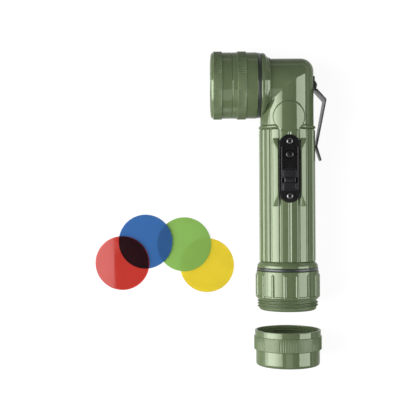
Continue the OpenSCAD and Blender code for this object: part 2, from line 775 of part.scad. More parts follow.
module ground_strip() {
    color(brass) difference() {
        intersection() {
            on_barrel() ring(bore_r - tight_gap, bore_r - tight_gap - strip_t, strip_start_w, cells_end);
            at_elbow() box(-strip_w / 2, strip_w / 2, -cells_end - cut, 0, 0, barrel_r);
        }
        at_elbow() screw_places() rod(shank_r + tight_gap, 0, barrel_r);
    }
}

module switch_gasket() {
    side = button_flange_r + 2 * slide_gap;
    color(black) difference() {
        at_elbow() translate([0, 0, seat_z]) linear_extrude(switch_gasket_t) plate_outline(0);
        at_elbow() screw_places() rod(shank_r + seat_gap, 0, barrel_r);
        at_elbow() box(-side, side, -slot_mid_w - slot_l / 2, -button_w + side, 0, barrel_r);
    }
}

module switch_plate() {
    low_y = -frame_end_w;
    high_y = -frame_top_w;
    side = button_flange_r + slide_gap;
    color(black) difference() {
        at_elbow() {
            translate([0, 0, plate_z]) linear_extrude(plate_t) plate_outline(0);
            box(-frame_w / 2, frame_w / 2, low_y, high_y, plate_top_z - embed, frame_top_z);
        }
        at_elbow() box(-track_w / 2, track_w / 2, low_y + frame_wall, high_y - frame_wall, track_z,
                       frame_top_z + cut);
        at_elbow() box(-side, side, -slot_mid_w - slot_l / 2, -button_w + side, plate_z - cut, pocket_z);
        at_elbow() box(-stem_w / 2 - run_gap, stem_w / 2 + run_gap, -slot_mid_w - slot_l / 2,
                       -slot_mid_w + slot_l / 2, plate_z - cut, frame_top_z);
        at_elbow() translate([0, -button_w, 0]) rod(button_r + slide_gap, plate_z - cut, frame_top_z);
        at_elbow() screw_places() rod(shank_r + slide_gap, plate_z - cut, plate_top_z + cut);
    }
}

// Two round-head screws with cross recesses
module switch_screws() {
    recess_w = 0.55;
    recess_l = 2.6;
    recess_floor = 0.4;
    recess_z = plate_top_z + recess_floor;
    color([0.25, 0.25, 0.26]) at_elbow() screw_places() {
        difference() {
            dome(screw_head_r, screw_head_h, plate_top_z);
            for (a = [45, 135]) rotate(a)
                box(-recess_l / 2, recess_l / 2, -recess_w / 2, recess_w / 2, recess_z,
                    plate_top_z + 2 * screw_head_h);
        }
        rod(shank_r, bore_r - strip_t - seat_gap, plate_top_z);
    }
}

// Slide with a waisted thumb step across it, three grip cuts below the step and a stem through the plate
module switch_slide() {
    y0 = -slide_end_w;
    y1 = y0 + slide_l;
    edge = 0.6;
    ramp = 1.2;
    step_l = 2.4;
    step_y = -slide_mid_w - step_l / 2;
    waist = 1.3;
    waist_l = 3.6;
    grip_side = 1.4;
    grip_pitch = 1.3;
    grip_cut = 0.6;
    color(black) at_elbow() {
        difference() {
            translate([-slide_w / 2, 0, 0]) rotate([90, 0, 90]) linear_extrude(slide_w) polygon([
                [y0, slide_base_z], [y1, slide_base_z], [y1, slide_top_z - edge], [y1 - edge, slide_top_z],
                [step_y + step_l + ramp, slide_top_z], [step_y + step_l, slide_top_z + thumb_h],
                [step_y, slide_top_z + thumb_h], [step_y - ramp, slide_top_z], [y0 + edge, slide_top_z],
                [y0, slide_top_z - edge]]);
            for (s = [-1, 1]) translate([s * slide_w / 2, -slide_mid_w, 0])
                box(-waist, waist, -waist_l / 2, waist_l / 2, slide_base_z - cut, slide_top_z + 2 * thumb_h);
            for (i = [1:3]) translate([0, y0 + grip_pitch * i, slide_top_z])
                box(grip_side - slide_w / 2, slide_w / 2 - grip_side, -grip_cut / 2, grip_cut / 2,
                    -grip_cut, cut);
        }
        box(-stem_w / 2, stem_w / 2, -stem_mid_w - stem_l / 2, -stem_mid_w + stem_l / 2, plate_z + slide_gap,
            slide_base_z + embed);
    }
}

module slide_contact() {
    color(brass) at_elbow() box(-stem_w / 2, stem_w / 2, -stem_mid_w - stem_l / 2, -stem_mid_w + stem_l / 2,
                                bore_r + slide_gap, plate_z + slide_gap);
}

module signal_button() {
    color(black) at_elbow() translate([0, -button_w, 0]) {
        rod(button_r, button_flange_z, button_top_z - button_dome);
        dome(button_r, button_dome, button_top_z - button_dome);
        rod(button_flange_r, button_flange_z, button_flange_z + button_flange_t);
    }
}

module button_spring() {
    color(steel) at_elbow() translate([0, -button_w, spring_foot_z])
        coil(button_r - 2 * slide_gap, button_r / 2 - slide_gap,
             button_flange_z - spring_foot_z - tight_gap, 2.5, button_wire);
}

module clip_plate() {
    color(black) difference() {
        at_elbow() box(neck_bore_r, clip_tab_x, clip_plate_low, clip_plate_top, -tab_w / 2 - run_gap,
                       tab_w / 2 + run_gap);
        on_barrel() rod(barrel_r + elbow_skin, -barrel_r, barrel_r, $fn = 256);
        at_elbow() rotate([0, 90, 0]) rod(rivet_hole_r, 0, clip_tab_x + cut);
    }
}

module clip_tab() {
    low_y = clip_root_y + clip_t / 2 + seat_gap;
    color(steel) difference() {
        at_elbow() box(clip_tab_x, clip_tab_x + clip_t, low_y, tab_top, -tab_w / 2, tab_w / 2);
        at_elbow() rotate([0, 90, 0]) rod(rivet_hole_r, 0, clip_tab_x + clip_t + cut);
    }
}

module clip_rivet() {
    head_x = clip_tab_x + clip_t;
    head_h = 1.3;
    foot_in = 1;
    foot_x = neck_bore_r - foot_in;
    foot_t = 0.8;
    foot_side = 0.6;
    color(black) at_elbow() rotate([0, 90, 0]) {
        dome(rivet_r, head_h, head_x);
        rod(rivet_r / 2, foot_x, head_x);
        rod(rivet_r - foot_side, foot_x, foot_x + foot_t);
    }
}

// Sprung arm of the clip: out to its bend, back to the barrel and out again in a short lip
module clip_arm() {
    top_y = clip_root_y + clip_t;
    low_y = clip_lip[1] - 2 * clip_t;
    color(steel) at_elbow() intersection() {
        translate([0, 0, -clip_w]) {
            linear_extrude(2 * clip_w) strip(bent_path(clip_path, clip_round), clip_t);
            translate(clip_path[0]) cylinder(r = clip_t / 2, h = 2 * clip_w);
        }
        rotate([0, 90, 0]) linear_extrude(clip_bend_x + 4 * clip_t) polygon([
            [-clip_w / 2, top_y], [clip_w / 2, top_y], [clip_w / 2, clip_bend_y], [clip_end_w / 2, low_y],
            [-clip_end_w / 2, low_y], [-clip_w / 2, clip_bend_y]]);
    }
}

module base_gasket() {
    color(black) on_barrel() ring(base_gasket_r, spigot_r + seat_gap, body_end_w, grip_w - seat_gap);
}

module battery_cap() {
    ridge_w = grip_w + ridge_start;
    ridge_sunk = 0.4;
    neck_edge = 0.6;
    color(green) on_barrel() {
        difference() {
            union() {
                rotate_extrude() polygon([[0, grip_w], [grip_r - edge_break, grip_w],
                    [grip_r, grip_w + edge_break], [grip_r, flange_w - lip_l - edge_break],
                    [lip_r, flange_w - lip_l], [lip_r, flange_w - embed],
                    [lip_r - embed, flange_w], [neck_r, flange_w], [neck_r, neck_end_w - neck_edge],
                    [neck_r - neck_edge, neck_end_w], [0, neck_end_w]]);
                for (i = [0:ridge_count - 1]) rotate(90 + ridge_turn + 360 * i / ridge_count)
                    translate([grip_r - ridge_r * ridge_sunk, 0, 0]) {
                        rod(ridge_r, ridge_w, flange_w - edge_break);
                        translate([0, 0, ridge_w]) sphere(r = ridge_r);
                    }
            }
            rod(grip_bore_r, grip_w - cut, spigot_end_w + 2 * run_gap);
            rod(well_r, spigot_end_w, floor_w);
            rod(neck_inner_r, flange_w, neck_end_w + cut);
        }
        thread(grip_bore_r, spigot_r + thread_gap, grip_w + thread_lead / 2, spigot_end_w - thread_lead / 2,
               base_pitch, 0.5);
        thread(neck_r, neck_crest_r, flange_w + thread_lead, neck_end_w - neck_edge - thread_lead,
               cap_pitch, 0);
    }
}

module battery_spring() {
    foot_in = 4.5;
    top_in = 9.5;
    color(steel) on_barrel() translate([0, 0, spring_seat_w]) mirror([0, 0, 1])
        coil(bore_r - foot_in, bore_r - top_in, spring_l - seat_gap, 5, battery_wire);
}

module spring_plate() { color(brass) on_barrel() rod(well_r - 3 * embed, spring_seat_w, floor_w); }

module storage_cap() {
    band_w = mouth_w + cap_band_d;
    color(green) on_barrel() {
        rotate_extrude() polygon(concat(
            [[0, cap_end_w - cap_bottom_t], [cap_inner_r, cap_end_w - cap_bottom_t],
             [cap_inner_r, mouth_w + shoulder_d], [cap_bore_r, mouth_w + shoulder_d],
             [cap_bore_r, mouth_w + edge_break], [cap_bore_r + edge_break, mouth_w],
             [mouth_r - edge_break, mouth_w], [mouth_r, mouth_w + edge_break]],
            band_points(mouth_r, band_w, band_w + cap_band_l),
            [[cap_low_r, band_w + cap_band_l]],
            arc(cap_low_r - cap_edge, cap_end_w - cap_edge, cap_edge, 0, 90),
            [[0, cap_end_w]]));
        thread(cap_bore_r, neck_r + thread_gap, mouth_w + thread_lead, mouth_w + neck_l - thread_lead,
               cap_pitch, 0.5);
    }
}

module cap_gasket() {
    w1 = mouth_w + shoulder_d;
    outer_r = cap_bore_r - seat_gap;
    color(black) on_barrel() ring(outer_r, outer_r - cap_gasket_w, w1 - cap_gasket_t, w1);
}

// Each filter leans on the one to its right and touches the table at its far edge, so they lie in a fan
lean_gap = 0.1;
function along(a, b) = atan2(b[1] - a[1], b[0] - a[0]);
function under_z(p, at, dir, slope) = slope * (filter_r - (p - at) * [cos(dir), sin(dir)]);
function rim(at) = [for (a = [0:3:357]) at + filter_r * [cos(a), sin(a)]];
function lean(at, dir, below_at, below_dir, below_slope) = max([for (p = concat(rim(at), rim(below_at)))
    if (norm(p - at) < filter_r + lean_gap && norm(p - below_at) < filter_r + lean_gap)
        (under_z(p, below_at, below_dir, below_slope) + filter_t + lean_gap) / under_z(p, at, dir, 1)]);
green_dir = along(yellow_at, green_at);
green_slope = lean(green_at, green_dir, yellow_at, 0, 0);
blue_dir = along(green_at, blue_at);
blue_slope = lean(blue_at, blue_dir, green_at, green_dir, green_slope);
red_dir = along(blue_at, red_at);
red_slope = lean(red_at, red_dir, blue_at, blue_dir, blue_slope);

module filter(at, dir, slope) {
    translate([elbow_x + at[0], elbow_y + at[1], filter_r * slope])
        rotate(dir) rotate([0, atan(slope), 0]) cylinder(r = filter_r, h = filter_t);
}

module red_filter() { color([0.8, 0.15, 0.12, 0.8]) filter(red_at, red_dir, red_slope); }
module blue_filter() { color([0.15, 0.35, 0.7, 0.8]) filter(blue_at, blue_dir, blue_slope); }
module green_filter() { color([0.5, 0.75, 0.3, 0.8]) filter(green_at, green_dir, green_slope); }
module yellow_filter() { color([0.95, 0.8, 0.15, 0.8]) filter(yellow_at, 0, 0); }

body_shell();
head_gasket();
lens_ring();
filter_ring();
filter_gasket();
lens();
lens_gasket();
reflector();
bulb_holder();
bulb_base();
bulb_glass();
contact_disc();
bulb_contact();
upper_cell();
lower_cell();
ground_strip();
switch_gasket();
switch_plate();
switch_screws();
switch_slide();
slide_contact();
signal_button();
button_spring();
clip_plate();
clip_tab();
clip_rivet();
clip_arm();
base_gasket();
battery_cap();
battery_spring();
spring_plate();
storage_cap();
cap_gasket();
red_filter();
blue_filter();
green_filter();
yellow_filter();
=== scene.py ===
"""Angle-head flashlight with its storage cap off and four colour filters laid beside it."""

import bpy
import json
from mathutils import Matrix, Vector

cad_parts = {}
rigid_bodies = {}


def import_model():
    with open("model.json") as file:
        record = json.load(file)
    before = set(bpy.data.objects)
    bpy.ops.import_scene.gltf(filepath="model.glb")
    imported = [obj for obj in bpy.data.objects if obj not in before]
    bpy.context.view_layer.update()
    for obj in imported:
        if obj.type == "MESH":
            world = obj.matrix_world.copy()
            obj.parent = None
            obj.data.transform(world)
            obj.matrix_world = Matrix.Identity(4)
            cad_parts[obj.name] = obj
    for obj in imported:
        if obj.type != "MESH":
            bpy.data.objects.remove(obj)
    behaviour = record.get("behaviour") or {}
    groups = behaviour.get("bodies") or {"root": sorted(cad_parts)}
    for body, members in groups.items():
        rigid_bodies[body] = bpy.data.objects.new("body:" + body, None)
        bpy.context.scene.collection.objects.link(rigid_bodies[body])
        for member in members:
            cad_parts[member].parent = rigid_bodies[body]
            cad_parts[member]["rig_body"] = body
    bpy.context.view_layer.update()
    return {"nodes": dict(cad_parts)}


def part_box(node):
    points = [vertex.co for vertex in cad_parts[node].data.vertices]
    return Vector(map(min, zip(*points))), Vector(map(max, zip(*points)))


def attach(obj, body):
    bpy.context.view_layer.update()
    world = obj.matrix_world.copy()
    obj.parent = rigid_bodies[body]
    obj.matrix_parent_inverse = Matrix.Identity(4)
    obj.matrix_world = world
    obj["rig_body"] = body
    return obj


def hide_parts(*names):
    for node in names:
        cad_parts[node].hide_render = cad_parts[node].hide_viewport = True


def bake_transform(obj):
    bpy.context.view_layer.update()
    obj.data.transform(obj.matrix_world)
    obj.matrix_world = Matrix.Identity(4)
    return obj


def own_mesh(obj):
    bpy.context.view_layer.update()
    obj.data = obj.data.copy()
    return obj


bl_info = {
    "name": "Angle-Head Flashlight",
    "version": (1, 0, 0),
    "blender": (4, 5, 0),
    "location": "View3D > Sidebar > Flashlight",
    "description": "Builds the visible pieces of an angle-head flashlight over its packed solids",
    "category": "Add Mesh",
}

import json
import math

import bmesh
import bpy
from bpy.props import FloatProperty, FloatVectorProperty, IntProperty, PointerProperty
from bpy.types import Operator, Panel, PropertyGroup
from mathutils import Color, Vector

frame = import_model()
MM = 0.001
# Points closer than this, in metres, become one
WELD = 1e-6


def middle(node):
    """Middle of a node's box, in metres."""
    low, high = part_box(node)
    return (Vector(low) + Vector(high)) / 2


# The elbow's centre: where the barrel's axis meets the head's. Sizes below are millimetres from it.
ELBOW = Vector((middle("base_gasket").x, middle("head_gasket").y, middle("base_gasket").z))

# Threads
COARSE_PITCH = 2.4
COARSE_RISE = 0.9
FINE_PITCH = 2.0
NOSE_RISE = 0.6
NECK_RISE = 1.1
THREAD_ROOT = 0.4
# Radii closer than this count as one
NEAR = 0.1

# Barrel, counted down from the head's axis
BARREL_R = 20.0
BORE_R = 17.5
RIB_R = 21.0
RIBS = 18
RIB_TOP = 33.4
RIB_FADE = 0.7
RIB_END_FADE = 0.5
GROOVE_R = 1.3
GROOVE_MID = 21.6
GROOVE_BLEND = 0.25
FOOT = 131.7
FOOT_R = 22.65
FOOT_STEP = 0.35
FOOT_LEAD = 0.6
FOOT_RISE = 3.0
FOOT_EDGE = (0.4, 0.3)
BARREL_END = 136.2
BEAD = 31.9
BEAD_R = 1.3
PAD = 24.8
PAD_R = 11.8
PAD_UP = 0.7
PAD_EDGE = 0.9
ELBOW_ROUND = 9.8
SPIGOT_R = 19.8
SPIGOT_LAP = 0.8
SPIGOT_SKIN = 0.6
SPIGOT_SHOULDER = 0.5
SPIGOT_TOP = 92.0
SPIGOT_END = 147.0
SPIGOT_THREAD = (139.1, 145.8)

# Head, counted forward from the barrel's axis
FLARE = 13.0
COLLAR = 20.3
COLLAR_R = 24.25
COLLAR_WIDE = 18.6
COLLAR_STEP = 16.1
COLLAR_STEP_R = 22.3
COLLAR_STEP_T = 0.3
PILOT_R = 20.8
PILOT_BORE = 18.6
PILOT_END = 47.6
PILOT_THREAD = (23.8, 32.8)
RING_R = 24.75
RING_BACK = 22.6
RING_BORE = 22.05
RING_BORE_END = 34.0
BAND_R = 25.35
LENS_BAND = (30.6, 37.6)
LENS_HOUSE_R = 21.1
SEAM = 41.3
SEAM_GAP = 0.1
NOSE_R = 22.3
NOSE_HOLE = 19.2
NOSE_END = 52.8
NOSE_THREAD = (43.7, 51.6)
FILTER_BAND = (48.5, 55.3)
FILTER_BORE = 23.25
FILTER_BORE_END = 53.4
FILTER_SEAT = 55.0
FILTER_SEAT_R = 21.3
WINDOW_R = 20.3
FRONT = 57.4
# Points of the bevelled front edge, each in from the ring's side and back from its front
FRONT_EDGE = ((0.3, 1.5), (0.7, 0.9), (1.3, 0.4), (2.2, 0.1), (3.2, 0.0))

# Lens, reflector and lamp, counted forward from the barrel's axis
LENS_R = 20.8
LENS_BACK = 49.5
LENS_FRONT = 51.5
BOWL_BACK = 34.546
BOWL_FOCUS = 6.0
BOWL_HOLE = 5.75
BOWL_R = 18.3
BOWL_WALL = 1.3
BOWL_RIM = (47.7, 48.5)
BOWL_SLEEVE_R = 7.0
BOWL_SLEEVE_END = 33.52
LAMP_R = 5.4
LAMP_MID = 39.924
LAMP_NECK_R = 4.1
LAMP_NECK_END = 33.53

# Battery cap and storage cap, counted down from the head's axis
GRIP = 138.5
GRIP_R = 23.35
GRIP_END = 156.6
RIDGES = 16
RIDGE_R = 1.2
RIDGE_MID = GRIP_R - 0.48
RIDGE_TOP = GRIP + 3.4
RIDGE_END = 159.0
RIDGE_TURN = math.radians(10)
BASE_BORE = 21.05
BASE_BORE_END = 147.6
BASE_THREAD = (139.1, 146.4)
SPRING_WELL_R = 18.0
FLANGE = 159.4
FLANGE_R = 23.95
FLANGE_TOP = 157.0
FLANGE_LOW = 157.7
FLANGE_DRAFT = 0.05
NECK_R = 21.5
NECK_BORE = 19.0
NECK_END = 167.7
NECK_THREAD = (160.1, 165.6)
MOUTH = 182.8
MOUTH_R = 24.65
MOUTH_BORE = 22.95
MOUTH_BORE_END = 192.4
MOUTH_THREAD = (184.0, 189.9)
CAP_BAND = (187.0, 197.2)
CAP_BAND_R = 25.25
CAP_R = 23.9
CAP_HOLLOW_R = 21.4
CAP_FLOOR = 206.7
CAP_END = 209.1

# Grip bands of the head and the storage cap
BAND_SLOPE = 0.3
BAND_FLAT = 0.7
BAND_PLAIN = 0.6
PATCHES = 6
RIBBED_STEPS = 720
PATCH_FADE = (math.radians(15.4), math.radians(16.6))
HEAD_TURN = math.radians(30)
CAP_TURN = math.radians(-3.7)

# Gaskets: inner and outer radius
HEAD_SEAL = (20.9, 24.35)
BASE_SEAL = (19.9, 22.95)
SEAL_T = 2.2
SEAL_ROUND = 0.7

# Switch, counted down from the head's axis
SWITCH = 63.0
SCREWS = (43.0, 83.0)
BUTTON = 52.5
PLATE_HALF = 7.8
PLATE_SPAN = 34.2
PLATE_LAP = 0.6
GUARD_NEAR = 40.75
GUARD_FAR = 90.45
GUARD_RAMP = 0.26
GUARD_ROUND = 0.4

# Switch plate and guards, counted out from the barrel's axis
PLATE = 19.1
TRACK = 20.7
PLATE_TOP = 21.6
FRAME_TOP = 22.9
GUARD_IN = 8.3
GUARD_OUT = 12.1
GUARD_R = 23.8
GUARD_LOW = 20.2
GUARD_DROP = 0.5
GUARD_FOOT_IN = 14.0
GUARD_FOOT_OUT = 13.0

# Parts of the switch from above: half width, near end and far end, counted down from the head's axis
SLOT_PLAN = (1.8, 63.8, 76.6)
TRACK_PLAN = (5.6, 46.6, 79.4)
TRACK_ROUND = 1.2
FRAME_W = 0.7
SLIDE_PLAN = (5.4, 63.8, 79.2)
NOTCH_PLAN = (4.1, 69.7, 73.3)
STEM_PLAN = (1.5, 71.2, 76.2)
SHOE_PLAN = (5.2, 62.7, 66.0)
TRAY_PLAN = (5.2, 73.6, 79.1)
WELL_PLAN = (3.9, 74.3, 78.1)
STEP_PLAN = (3.9, 69.1, 73.9)
STEP_SLOPE = 1.1
BAR_PLAN = (4.0, 67.6, 68.4)
BAR_PITCH = 1.5
BARS = 3

# Slide, button and screws, counted out from the barrel's axis
SLIDE_FOOT = 20.9
SLIDE_TOP = 23.5
TRAY_UP = 0.45
TRAY_SUNK = 0.3
STEM_FOOT = 19.3
STEM_TOP = 21.4
SHOE_TOP = 21.5
STEP_FOOT = 22.9
STEP_TOP = 24.9
BAR_FOOT = 23.2
BAR_TOP = 23.9
BUTTON_R = 3.0
BUTTON_HOLE = 3.2
BUTTON_BRIM_R = 3.6
BUTTON_FOOT = 19.45
BUTTON_BRIM = 19.85
BUTTON_SHOULDER = 21.799
BUTTON_DOME = 1.0
COIL_FOOT = 17.6
COIL_L = 1.8
COIL_R = (2.6, 1.3)
COIL_WIRE = 0.15
COIL_TURNS = 2.5
SCREW_HOLE = 1.25
SCREW_R = 1.1
SCREW_END = 16.9
SCREW_HEAD_R = 2.4
SCREW_HEAD_H = 1.2
CROSS_HALF = (0.3, 0.46)
CROSS_REACH = (1.3, 1.6)
CROSS_FLOOR = PLATE_TOP + 0.1
# The cross recess is painted dark as shade within this reach of the screw's middle and this depth under its
# head
CROSS_SHADE_EDGE = 1.8
CROSS_SHADE_DEPTH = 0.15

# Belt clip: corners of its middle line, each out from the barrel's axis and up from the head's
CLIP_LINE = ((21.05, 2.9), (21.05, -3.6), (28.2, -11.472), (21.6, -46.25), (25.0, -56.65))
CLIP_BENDS = (1.4, 1.6, 1.8)
CLIP_T = 0.9
CLIP_EDGE = 0.22
CLIP_HALF = 9.75
CLIP_TIP_HALF = 5.5
CLIP_TAPER = (-11.5, -58.5)
CLIP_END_ROUND = 1.5
CLIP_END_CUT = 0.8
TAB_HALF = 4.0
TAB_END = (-3.6, -3.0)
RIVET_FOOT = 15.0
RIVET_FOOT_T = 0.8
RIVET_FOOT_R = 1.9
RIVET_R = 1.25
RIVET_SEAT = 21.5
RIVET_HEAD_R = 2.5
RIVET_HEAD_H = 1.3

# Filters
FILTER_R = 20.95
FILTER_T = 0.8
FILTER_EDGE = 0.22
FILTER_RIM = 0.5


class FlashlightSizes(PropertyGroup):
    """Sizes of the finer detail, in metres."""
    rib_pitch: FloatProperty(
        name="Grip rib pitch", description="Angle between two fine ribs on a grip band",
        default=math.radians(4), subtype="ANGLE", unit="ROTATION")
    rib_depth: FloatProperty(
        name="Grip rib depth", description="Depth of the fine ribs on a grip band",
        default=0.00028, unit="LENGTH", precision=5)
    edge: FloatProperty(
        name="Moulded edge", description="Radius of the moulded edges",
        default=0.0005, unit="LENGTH", precision=5)
    crease: FloatProperty(
        name="Elbow crease", description="Radius of the hollow inside the elbow",
        default=0.0012, unit="LENGTH", precision=5)
    columns: IntProperty(
        name="Columns", description="Faces round the barrel", default=480)
    camera_height: FloatProperty(
        name="Camera height", description="Height of the camera over the barrel's axis",
        default=0.7, unit="LENGTH")
    camera_roll: FloatProperty(
        name="Camera roll", description="Turn of the camera about its line of sight",
        default=math.radians(-0.27), subtype="ANGLE", unit="ROTATION")
    softbox: FloatProperty(
        name="Softbox level", description="Brightness of the softboxes, 1 is the plain level", default=1.0)


class FlashlightColours(PropertyGroup):
    """Colours as they are seen, before any light."""
    plastic: FloatVectorProperty(
        name="Green plastic", description="Moulded casing, rings and caps",
        default=(0.309, 0.355, 0.252), subtype="COLOR_GAMMA")
    switch: FloatVectorProperty(
        name="Black plastic", description="Switch plate and button",
        default=(0.05, 0.05, 0.053), subtype="COLOR_GAMMA")
    slide: FloatVectorProperty(
        name="Satin black plastic", description="Switch slide",
        default=(0.1, 0.1, 0.11), subtype="COLOR_GAMMA")
    rubber: FloatVectorProperty(
        name="Black rubber", description="Gaskets",
        default=(0.14, 0.16, 0.155), subtype="COLOR_GAMMA")
    steel: FloatVectorProperty(
        name="Grey steel", description="Belt clip and springs",
        default=(0.22, 0.22, 0.23), subtype="COLOR_GAMMA")
    # Also used as painted shade in the screws' cross recesses
    black_steel: FloatVectorProperty(
        name="Black steel", description="Rivet and clip plate",
        default=(0.06, 0.06, 0.065), subtype="COLOR_GAMMA")
    screw_steel: FloatVectorProperty(
        name="Screw steel", description="Plate screws",
        default=(0.44, 0.44, 0.45), subtype="COLOR_GAMMA")
    brass: FloatVectorProperty(
        name="Brass", description="Contacts",
        default=(0.78, 0.64, 0.36), subtype="COLOR_GAMMA")
    mirror: FloatVectorProperty(
        name="Bright metal", description="Reflector",
        default=(0.93, 0.93, 0.94), subtype="COLOR_GAMMA")
    cell: FloatVectorProperty(
        name="Cell sleeve", description="Plain sleeve of the cells",
        default=(0.62, 0.46, 0.27), subtype="COLOR_GAMMA")
    glass: FloatVectorProperty(
        name="Clear", description="Lens and lamp glass",
        default=(0.96, 0.98, 0.98), subtype="COLOR_GAMMA")
    red: FloatVectorProperty(
        name="Red filter", description="Tint of the red filter",
        default=(0.782, 0.238, 0.2), subtype="COLOR_GAMMA")
    blue: FloatVectorProperty(
        name="Blue filter", description="Tint of the blue filter",
        default=(0.2255, 0.41, 0.639), subtype="COLOR_GAMMA")
    green: FloatVectorProperty(
        name="Green filter", description="Tint of the green filter",
        default=(0.522, 0.685, 0.348), subtype="COLOR_GAMMA")
    yellow: FloatVectorProperty(
        name="Yellow filter", description="Tint of the yellow filter",
        default=(0.914, 0.825, 0.229), subtype="COLOR_GAMMA")


def sizes():
    return bpy.context.scene.flashlight_sizes


def colours():
    return bpy.context.scene.flashlight_colours


# Axes: a point at radius r and angle a from straight up, and at distance d along the axis
def on_barrel(r, a, d):
    return (r * math.sin(a), -d, r * math.cos(a))


def on_head(r, a, d):
    return (-d, r * math.sin(a), r * math.cos(a))


def on_clip(r, a, d):
    return (d, r * math.cos(a), r * math.sin(a))


def upright(w):
    """Axis that stands on the barrel at distance w from the head."""
    return lambda r, a, d: (r * math.sin(a), r * math.cos(a) - w, d)


def leaning(centre, lean, turn):
    """Axis of a disc at a place in the frame that leans along x and is then turned about the upright."""
    def axis(r, a, d):
        x, y = r * math.cos(a), r * math.sin(a)
        x, z = x * math.cos(lean) + d * math.sin(lean), d * math.cos(lean) - x * math.sin(lean)
        return (centre.x + x * math.cos(turn) - y * math.sin(turn) - ELBOW.x / MM,
                centre.y + x * math.sin(turn) + y * math.cos(turn) - ELBOW.y / MM,
                centre.z + z - ELBOW.z / MM)
    return axis


def across(u, v, t):
    """Turns a slab so that its outline runs along the barrel and its thickness across it."""
    return (t, u, v)


# Shapes
def smooth(low, high, x):
    """0 up to low, 1 from high on, with a soft rise between them."""
    t = min(1.0, max(0.0, (x - low) / (high - low)))
    return t * t * (3 - 2 * t)


def spaced(start, step, count):
    """Distances from a start in equal steps."""
    return [start + step * k for k in range(count)]


def arc(count, span=math.pi / 2, start=0.0):
    """Angles that divide a span into equal parts, with both its ends."""
    return [start + span * k / count for k in range(count + 1)]


def rounded(corners, radius=0.0, n=3):
    """Outline with its corners rounded. A corner's third number is its own radius.

    A corner takes at most a share of the sides that meet there.
    """
    share = 0.45
    outline = []
    for i, corner in enumerate(corners):
        p = Vector(corner[:2])
        r = corner[2] if len(corner) > 2 else radius
        back = Vector(corners[i - 1][:2]) - p
        ahead = Vector(corners[(i + 1) % len(corners)][:2]) - p
        if r <= 0:
            outline.append(tuple(p))
            continue
        cut = min(r / math.tan(back.angle(ahead) / 2), share * back.length, share * ahead.length)
        start, end = p + back.normalized() * cut, p + ahead.normalized() * cut
        for k in range(n + 1):
            t = k / n
            outline.append(tuple(start * (1 - t) ** 2 + p * 2 * t * (1 - t) + end * t * t))
    return outline


def bridge(rows, closed=False, ends=False):
    """Quads between rows of equally many points that go round.

    closed joins the last row to the first, and ends closes the first and the last row with a face each.
    """
    n = len(rows[0])
    last = len(rows) - 1
    points = [p for row in rows for p in row]
    faces = []
    for i in range(last + 1 if closed else last):
        j = (i + 1) % len(rows)
        for k in range(n):
            m = (k + 1) % n
            faces.append((i * n + k, i * n + m, j * n + m, j * n + k))
    if ends:
        faces += [tuple(range(n)), tuple(last * n + k for k in range(n))]
    return points, faces


def lathe(axis, outline, steps=128, shape=None, closed=True):
    """Outline of (radius, distance) pairs turned round an axis. shape changes the radius at an angle."""
    rows = []
    for r, d in outline:
        row = []
        for k in range(steps):
            a = 2 * math.pi * k / steps
            row.append(axis(shape(a, r, d) if shape else r, a, d))
        rows.append(row)
    return bridge(rows, closed)


def screw_thread(axis, wall, rise, reach, pitch, phase, turn=1, steps=64, foot=0.23):
    """Thread ridge that rises out of a wall, or into its bore, and fades out at both ends.

    reach holds its first and last distance, phase is in turns and foot is half its width in pitches.
    """
    start, end = reach
    base = wall - math.copysign(THREAD_ROOT, rise)
    count = int((end - start) / pitch * steps)
    fade, least = 4, 0.2
    # Half of the ridge's section: off its middle in pitches, and the share of its height
    flank = [(foot, 0.0), (0.12, 0.86), (0.07, 1.0)]
    section = flank + [(-off, share) for off, share in reversed(flank)]
    rows = []
    for i in range(count + 1):
        d = start + pitch * i / steps
        a = turn * 2 * math.pi * (d / pitch - phase) + (0 if turn > 0 else math.pi / 2)
        height = (wall + rise - base) * max(least, min(1.0, fade * i / steps, fade * (count - i) / steps))
        rows.append([axis(base + height * share, a, d + off * pitch) for off, share in section])
    return bridge(rows, ends=True)


def slab(loops, low, high, edge, turned=None):
    """Flat piece with holes and rounded edges, from 2-D loops. turned maps (u, v, t) to x, y, z."""
    curve = bpy.data.curves.new("outline", "CURVE")
    curve.dimensions = "2D"
    curve.fill_mode = "BOTH"
    for loop in loops:
        spline = curve.splines.new("POLY")
        spline.points.add(len(loop) - 1)
        for point, (u, v) in zip(spline.points, loop):
            point.co = (u, v, 0, 1)
        spline.use_cyclic_u = True
    curve.extrude = (high - low) / 2 - edge
    curve.bevel_depth = edge
    curve.bevel_resolution = 2
    curve.offset = -edge
    holder = bpy.data.objects.new("outline", curve)
    bpy.context.scene.collection.objects.link(holder)
    bpy.context.view_layer.update()
    mesh = bpy.data.meshes.new_from_object(holder.evaluated_get(bpy.context.evaluated_depsgraph_get()))
    points = [(v.co.x, v.co.y, v.co.z + (low + high) / 2) for v in mesh.vertices]
    if turned:
        points = [turned(*p) for p in points]
    faces = [tuple(p.vertices) for p in mesh.polygons]
    bpy.data.meshes.remove(mesh)
    bpy.data.objects.remove(holder)
    bpy.data.curves.remove(curve)
    return points, faces


def circle(y, r, n=40):
    """Loop round a place on the barrel's middle line."""
    return [(r * math.cos(2 * math.pi * k / n), y + r * math.sin(2 * math.pi * k / n)) for k in range(n)]


def plan_loop(plan, corner, grow=0.0):
    """Rounded box on the barrel's middle line from its half width, near end and far end."""
    half, near, far = plan[0] + grow, plan[1] - grow, plan[2] + grow
    return rounded([(-half, -far), (half, -far), (half, -near), (-half, -near)], corner + grow, 5)


